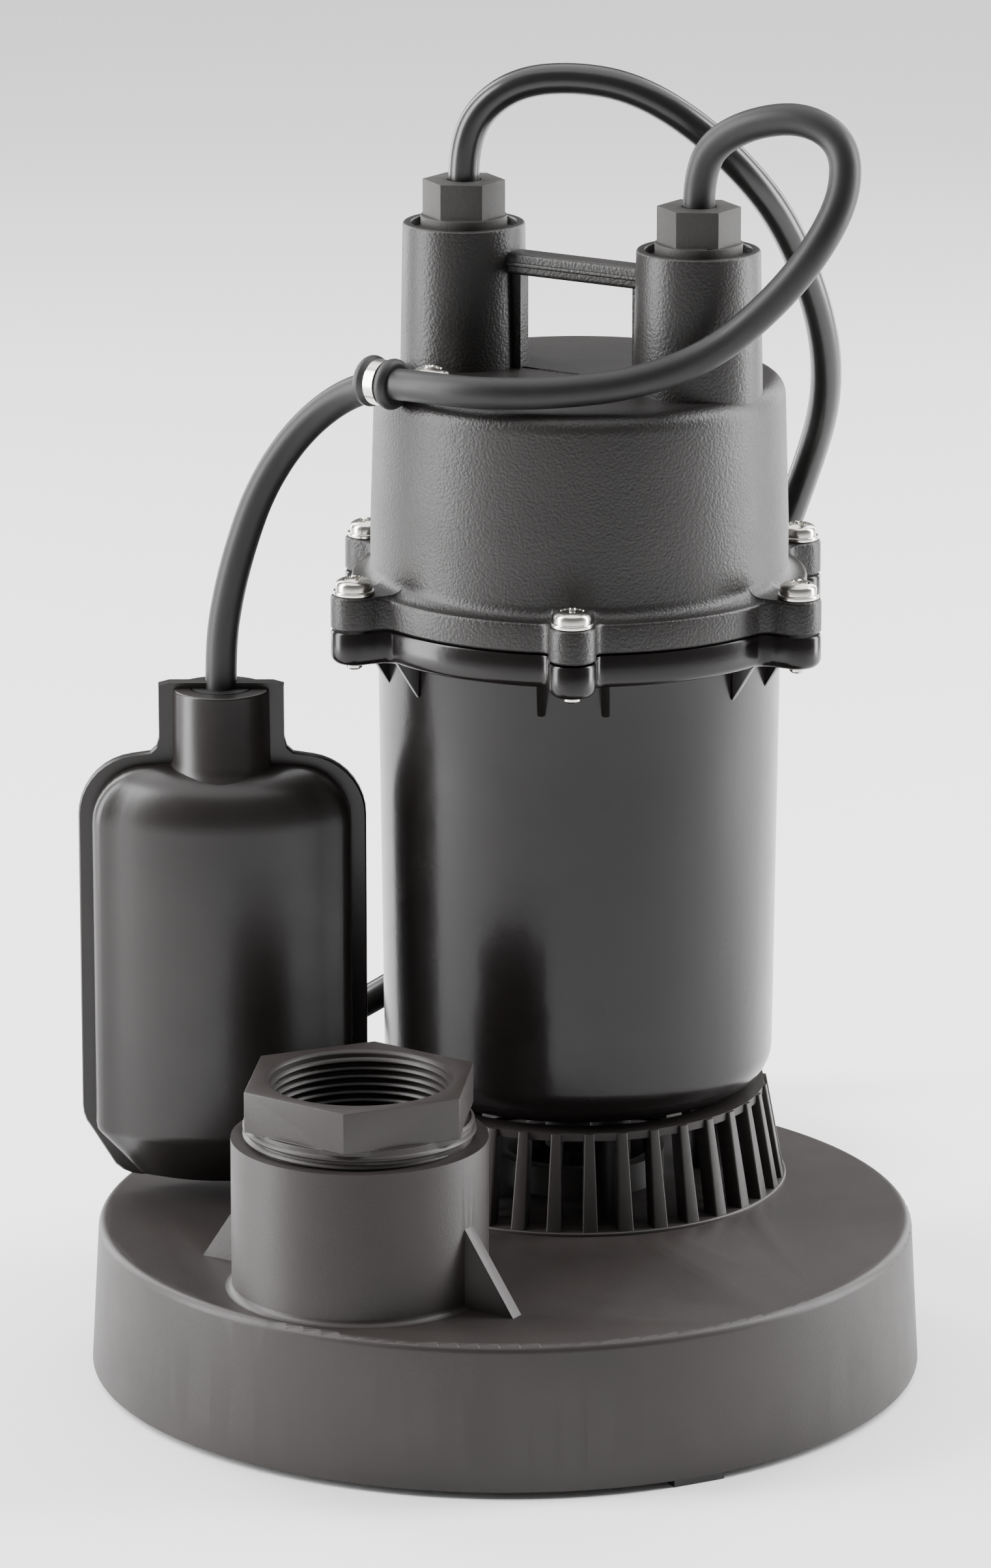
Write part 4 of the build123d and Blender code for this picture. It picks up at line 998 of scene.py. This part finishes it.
@dataclass
class Discharge:
    """Volute base, its boss, and the hexagonal adapter with its threads."""

    thread_pitch: float = 2.21
    thread_depth: float = 1.1
    pipe_wall: float = 24.1
    neck_wall: float = 29.9
    neck_drop: float = 11.4

    def build(self) -> None:
        """Make the base, the adapter and both threads."""
        settle(wrap_mesh("base", softened("base_shell", 0.7), "base_plastic", 32), "pump",
               ["base_shell"])
        adapter = Axis("discharge_adapter")
        piece = wrap_mesh("hex_adapter", softened("discharge_adapter", 0.7), "base_plastic", 32)
        settle(piece, "pump", ["discharge_adapter"])
        inside = self._thread(adapter, self.pipe_wall, adapter.high - 2.0, 11, inwards=True)
        settle(wrap_mesh("pipe_thread", inside, "base_plastic", 60), "pump")
        outside = self._thread(adapter, self.neck_wall, adapter.high - self.neck_drop, 2, inwards=False)
        settle(wrap_mesh("neck_thread", outside, "base_plastic", 60), "pump")
        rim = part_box("discharge_adapter")[0].z / MM
        fillet = [(34.1, 43.7), (34.3, 42.8), (34.9, 42.0), (35.9, 41.65), (34.0, 41.5)]
        settle(wrap_mesh("boss_fillet", lathe(fillet, adapter.centre, 120, ring=True), "base_plastic", 50),
               "pump")
        log.info("adapter neck reaches down to %.1f mm", rim)

    def _thread(self, axis: Axis, radius: float, top: float, turns: int, inwards: bool) -> bpy.types.Mesh:
        """Helical ridge on a wall, going down from a height.

        Args:
            axis: The thread's axis.
            radius: The wall's radius in millimetres.
            top: Height of the upper end.
            turns: Number of turns.
            inwards: Whether the ridge stands inwards.

        Returns:
            The ridge's mesh.
        """
        steps = 72
        sign = -1 if inwards else 1
        half = self.thread_pitch * 0.46
        loops = []
        for i in range(turns * steps + 1):
            turn = 2 * math.pi * i / steps
            height = top - self.thread_pitch * i / steps
            fade = min(1.0, i / 12, (turns * steps - i) / 12)
            crest = radius + sign * self.thread_depth * max(fade, 0.05)
            back = radius - sign * 0.25
            loop = []
            for r, z in ((back, height + half), (crest, height + 0.18), (crest, height - 0.18), (back, height - half)):
                loop.append(mm(axis.x + r * math.cos(turn), axis.y + r * math.sin(turn), z))
            loops.append(loop)
        return stacked(loops)


@dataclass
class Glands:
    """Hexagonal gland nuts with their collars, one on each tower."""

    edge: float = 0.5

    def build(self) -> None:
        """Make both nuts from the CAD's places."""
        for use in ("power", "float"):
            node = f"{use}_gland_nut"
            piece = wrap_mesh(f"{use}_nut", softened(node, self.edge), "gland_plastic", 32)
            settle(piece, "pump", [node])


@dataclass
class Clip:
    """Rubber-lined clip that ties the float's cord to the cap."""

    turn: float = 82.0
    tab_half: float = 4.5
    tab_reach: float = 20.0
    tab_height: float = 268.85
    tab_thickness: float = 1.6

    def build(self, screws: Screws) -> None:
        """Make the rubber, the band and the screw."""
        lowest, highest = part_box("clip_rubber")
        centre = (lowest + highest) / 2 / MM
        turn = math.radians(self.turn)
        across = Vector((math.cos(turn), math.sin(turn), 0))
        along = Vector((math.sin(turn), -math.cos(turn), 0))
        rise = Vector((0, 0, 1))
        rubber = [(4.1, -5.6)] + arc(5.0, -3.6, 1.95, 260, 380, 7) + [(5.4, -1.5), (5.4, 1.5)]
        rubber += arc(5.0, 3.6, 1.95, -20, 100, 7) + [(4.1, 5.6)]
        band = [(5.3, -1.6), (6.2, -1.6), (6.2, 1.6), (5.3, 1.6)]
        for name, profile, finish, slot, node in (
            ("clip_lining", rubber, "rubber", "rubber", "clip_rubber"),
            ("clip_strap", band, "stainless", "stainless", "clip_band"),
        ):
            loops = []
            for radius, shift in profile + [profile[0]]:
                loop = []
                for i in range(64):
                    angle = 2 * math.pi * i / 64
                    spot = centre + along * shift + (across * math.cos(angle) + rise * math.sin(angle)) * radius
                    loop.append(tuple(spot * MM))
                loops.append(loop)
            mesh = stacked(loops, closed=False)
            if node == "clip_band":
                mesh = join("strap", [mesh, self._tab(centre, across)])
            settle(wrap_mesh(name, mesh, finish, 50), "pump", [node])
        seat = Axis("clip_screw")
        head = screws.head()
        head.transform(Matrix.Translation(mm(seat.x, seat.y, seat.high - 3.9)))
        settle(wrap_mesh("clip_pan_screw", head, "stainless", 30), "pump", ["clip_screw"])

    def _tab(self, centre: Vector, across: Vector) -> bpy.types.Mesh:
        """Two straps together from the loop to the screw, on the cap's top."""
        half, reach = self.tab_half, self.tab_reach
        outline = [(5.6, -half), (reach, -half)] + arc(reach, 0, half, -75, 75, 10)
        outline += [(reach, half), (5.6, half)]
        angle = math.atan2(across.y, across.x)
        place = Matrix.Translation(mm(centre.x, centre.y, self.tab_height)) @ Matrix.Rotation(angle, 4, "Z")
        return plate(outline, place, self.tab_thickness)


@dataclass
class FloatSwitch:
    """Two welded half shells with their seam rim, neck and fins."""

    turn: float = 32.1
    half_width: float = 35.25
    half_depth: float = 22.0
    side: float = 11.0
    bottom: float = 47.0
    top: float = 163.0
    shoulder: float = 15.0
    chamfer: float = 13.0
    rim_half: float = 39.25
    rim_thickness: float = 3.0
    neck_radius: float = 13.2
    neck_top: float = 184.5

    def build(self) -> None:
        """Make the body, the rim and the neck."""
        grommet = Axis("float_grommet")
        place = Matrix.Translation((grommet.x * MM, grommet.y * MM, 0)) @ Matrix.Rotation(
            math.radians(self.turn), 4, "Z")
        body = wrap_mesh("float_body", self._body(place), "float_plastic", 40)
        settle(body, "float", ["float_front_shell", "float_back_shell"])
        rim_place = place @ Matrix.Rotation(math.pi / 2, 4, "X")
        rim = wrap_mesh("float_seam_rim", plate(self._rim(), rim_place, self.rim_thickness), "float_plastic", 30)
        settle(rim, "float")
        profile = [(self.neck_radius + 3.0, self.top - 3), (self.neck_radius + 1.2, self.top - 0.4)]
        profile += [(self.neck_radius + 0.2, self.top + 1.6), (self.neck_radius, self.neck_top - 0.6)]
        profile += arc(self.neck_radius - 0.6, self.neck_top - 0.6, 0.6, 0, 90, 3)
        profile += [(8.6, self.neck_top), (8.3, self.neck_top - 0.6), (8.3, self.top - 3)]
        neck = wrap_mesh("float_neck", lathe(profile, grommet.centre, 64, ring=True), "float_plastic", 40)
        settle(neck, "float")

    def _section(self, inset: float) -> list[tuple[float, float]]:
        """Bulged outline from above, moved inwards: two flat sides joined by wide arcs."""
        share = 1 - inset / (self.half_depth + 4)
        width, depth, side = self.half_width - inset, self.half_depth * share, self.side * share
        corner = 5.0 * share
        rise = depth - side
        radius = (rise**2 + (width - corner) ** 2) / (2 * rise)
        points: list[tuple[float, float]] = []
        for sign in (1, -1):
            arch = []
            for i in range(21):
                x = (width - corner) * (1 - 2 * i / 20)
                arch.append((x, math.sqrt(radius**2 - x**2) - radius + depth))
            left = arc(-width + corner, side - corner, corner, 100, 180, 4)
            right = arc(width - corner, side - corner, corner, 0, 80, 4)
            half = right + arch[1:-1] + left
            points += half if sign > 0 else [(-x, -y) for x, y in half]
        return points

    def _body(self, place: Matrix) -> bpy.types.Mesh:
        """Body with rounded shoulders and a chamfered foot."""
        rows = [(self.chamfer + 6, self.bottom), (self.chamfer + 0.5, self.bottom),
                (self.chamfer - 1.2, self.bottom + 0.8), (1.2, self.bottom + self.chamfer),
                (0.3, self.bottom + self.chamfer + 1.2), (0.0, self.bottom + self.chamfer + 3.0)]
        for share in (0.3, 0.6):
            rows.append((0.0, self.bottom + self.chamfer + share * (self.top - self.bottom - self.chamfer)))
        for x, z in arc(0, 0, self.shoulder, 0, 90, 10):
            rows.append((self.shoulder - x, self.top - self.shoulder + z))
        rows.append((self.shoulder + 5, self.top + 0.4))
        loops = []
        for inset, height in rows:
            loops.append([tuple(place @ Vector(mm(x, y, height))) for x, y in self._section(inset)])
        return stacked(loops)

    def _rim(self) -> list[tuple[float, float]]:
        """Seam rim from the front: chamfered foot, round shoulders and the fins beside the neck."""
        half, fin = self.rim_half, 17.1
        right = arc(half - 16, self.bottom + 9, 10, -90, -45, 3) + arc(half - 10, self.bottom + 19, 10, -40, 0, 3)
        right += arc(half - 17, self.top - 14, 17, 0, 82, 9)
        right += [(fin + 2.4, self.top + 3.6), (fin + 0.7, self.top + 5.2), (fin, self.top + 8),
                  (fin, self.neck_top + 1.2), (fin - 3, self.neck_top + 2.0)]
        return right + [(-x, z) for x, z in reversed(right)]


def dress_remaining() -> None:
    """Give every shown CAD node the finish of its slot."""
    slots = {row["node"]: row["material_slot"] for row in frame["record"]["subparts"]}
    for name, node in NODES.items():
        node.data.materials.clear()
        node.data.materials.append(PAINT.get(slots[name]))


def build_fasteners(motor: Axis, polar: PolarArray, screws: Screws) -> None:
    """Make the flange screws with their washers and tips."""
    washers = Axis("flange_washers")
    thickness = washers.high - washers.low
    shank = Axis("flange_screws")
    depth = washers.high - shank.low
    unit = join("screw", [screws.head(), screws.tip(depth)])
    count, reach, seat = FlangeOutline.ears, FlangeOutline.ear_circle, (motor.x, motor.y, washers.high)
    piece = polar.repeat("flange_pan_screws", unit, count, reach, 0, seat, "stainless", 30)
    settle(piece, "pump", ["flange_screws"])
    piece = polar.repeat("flange_lock_washers", screws.washer(5.6, thickness), count, reach, 0, seat,
                         "stainless", 40)
    settle(piece, "pump", ["flange_washers"])


def main() -> None:
    """Build the whole scene in order."""
    logging.basicConfig(level=logging.INFO, format="%(name)s: %(message)s")
    CameraRig().build()
    Cords().build()
    Studio().build()
    dress_remaining()
    polar = PolarArray("polar_array")
    motor = Axis("motor_housing")
    parting = motor.high
    screws = Screws()
    Cap().build(motor, parting)
    Housing().build(motor, parting, polar)
    Screen().build(motor, polar)
    Discharge().build()
    Glands().build()
    build_fasteners(motor, polar, screws)
    Clip().build(screws)
    FloatSwitch().build()


if __name__ == "__main__":
    main()
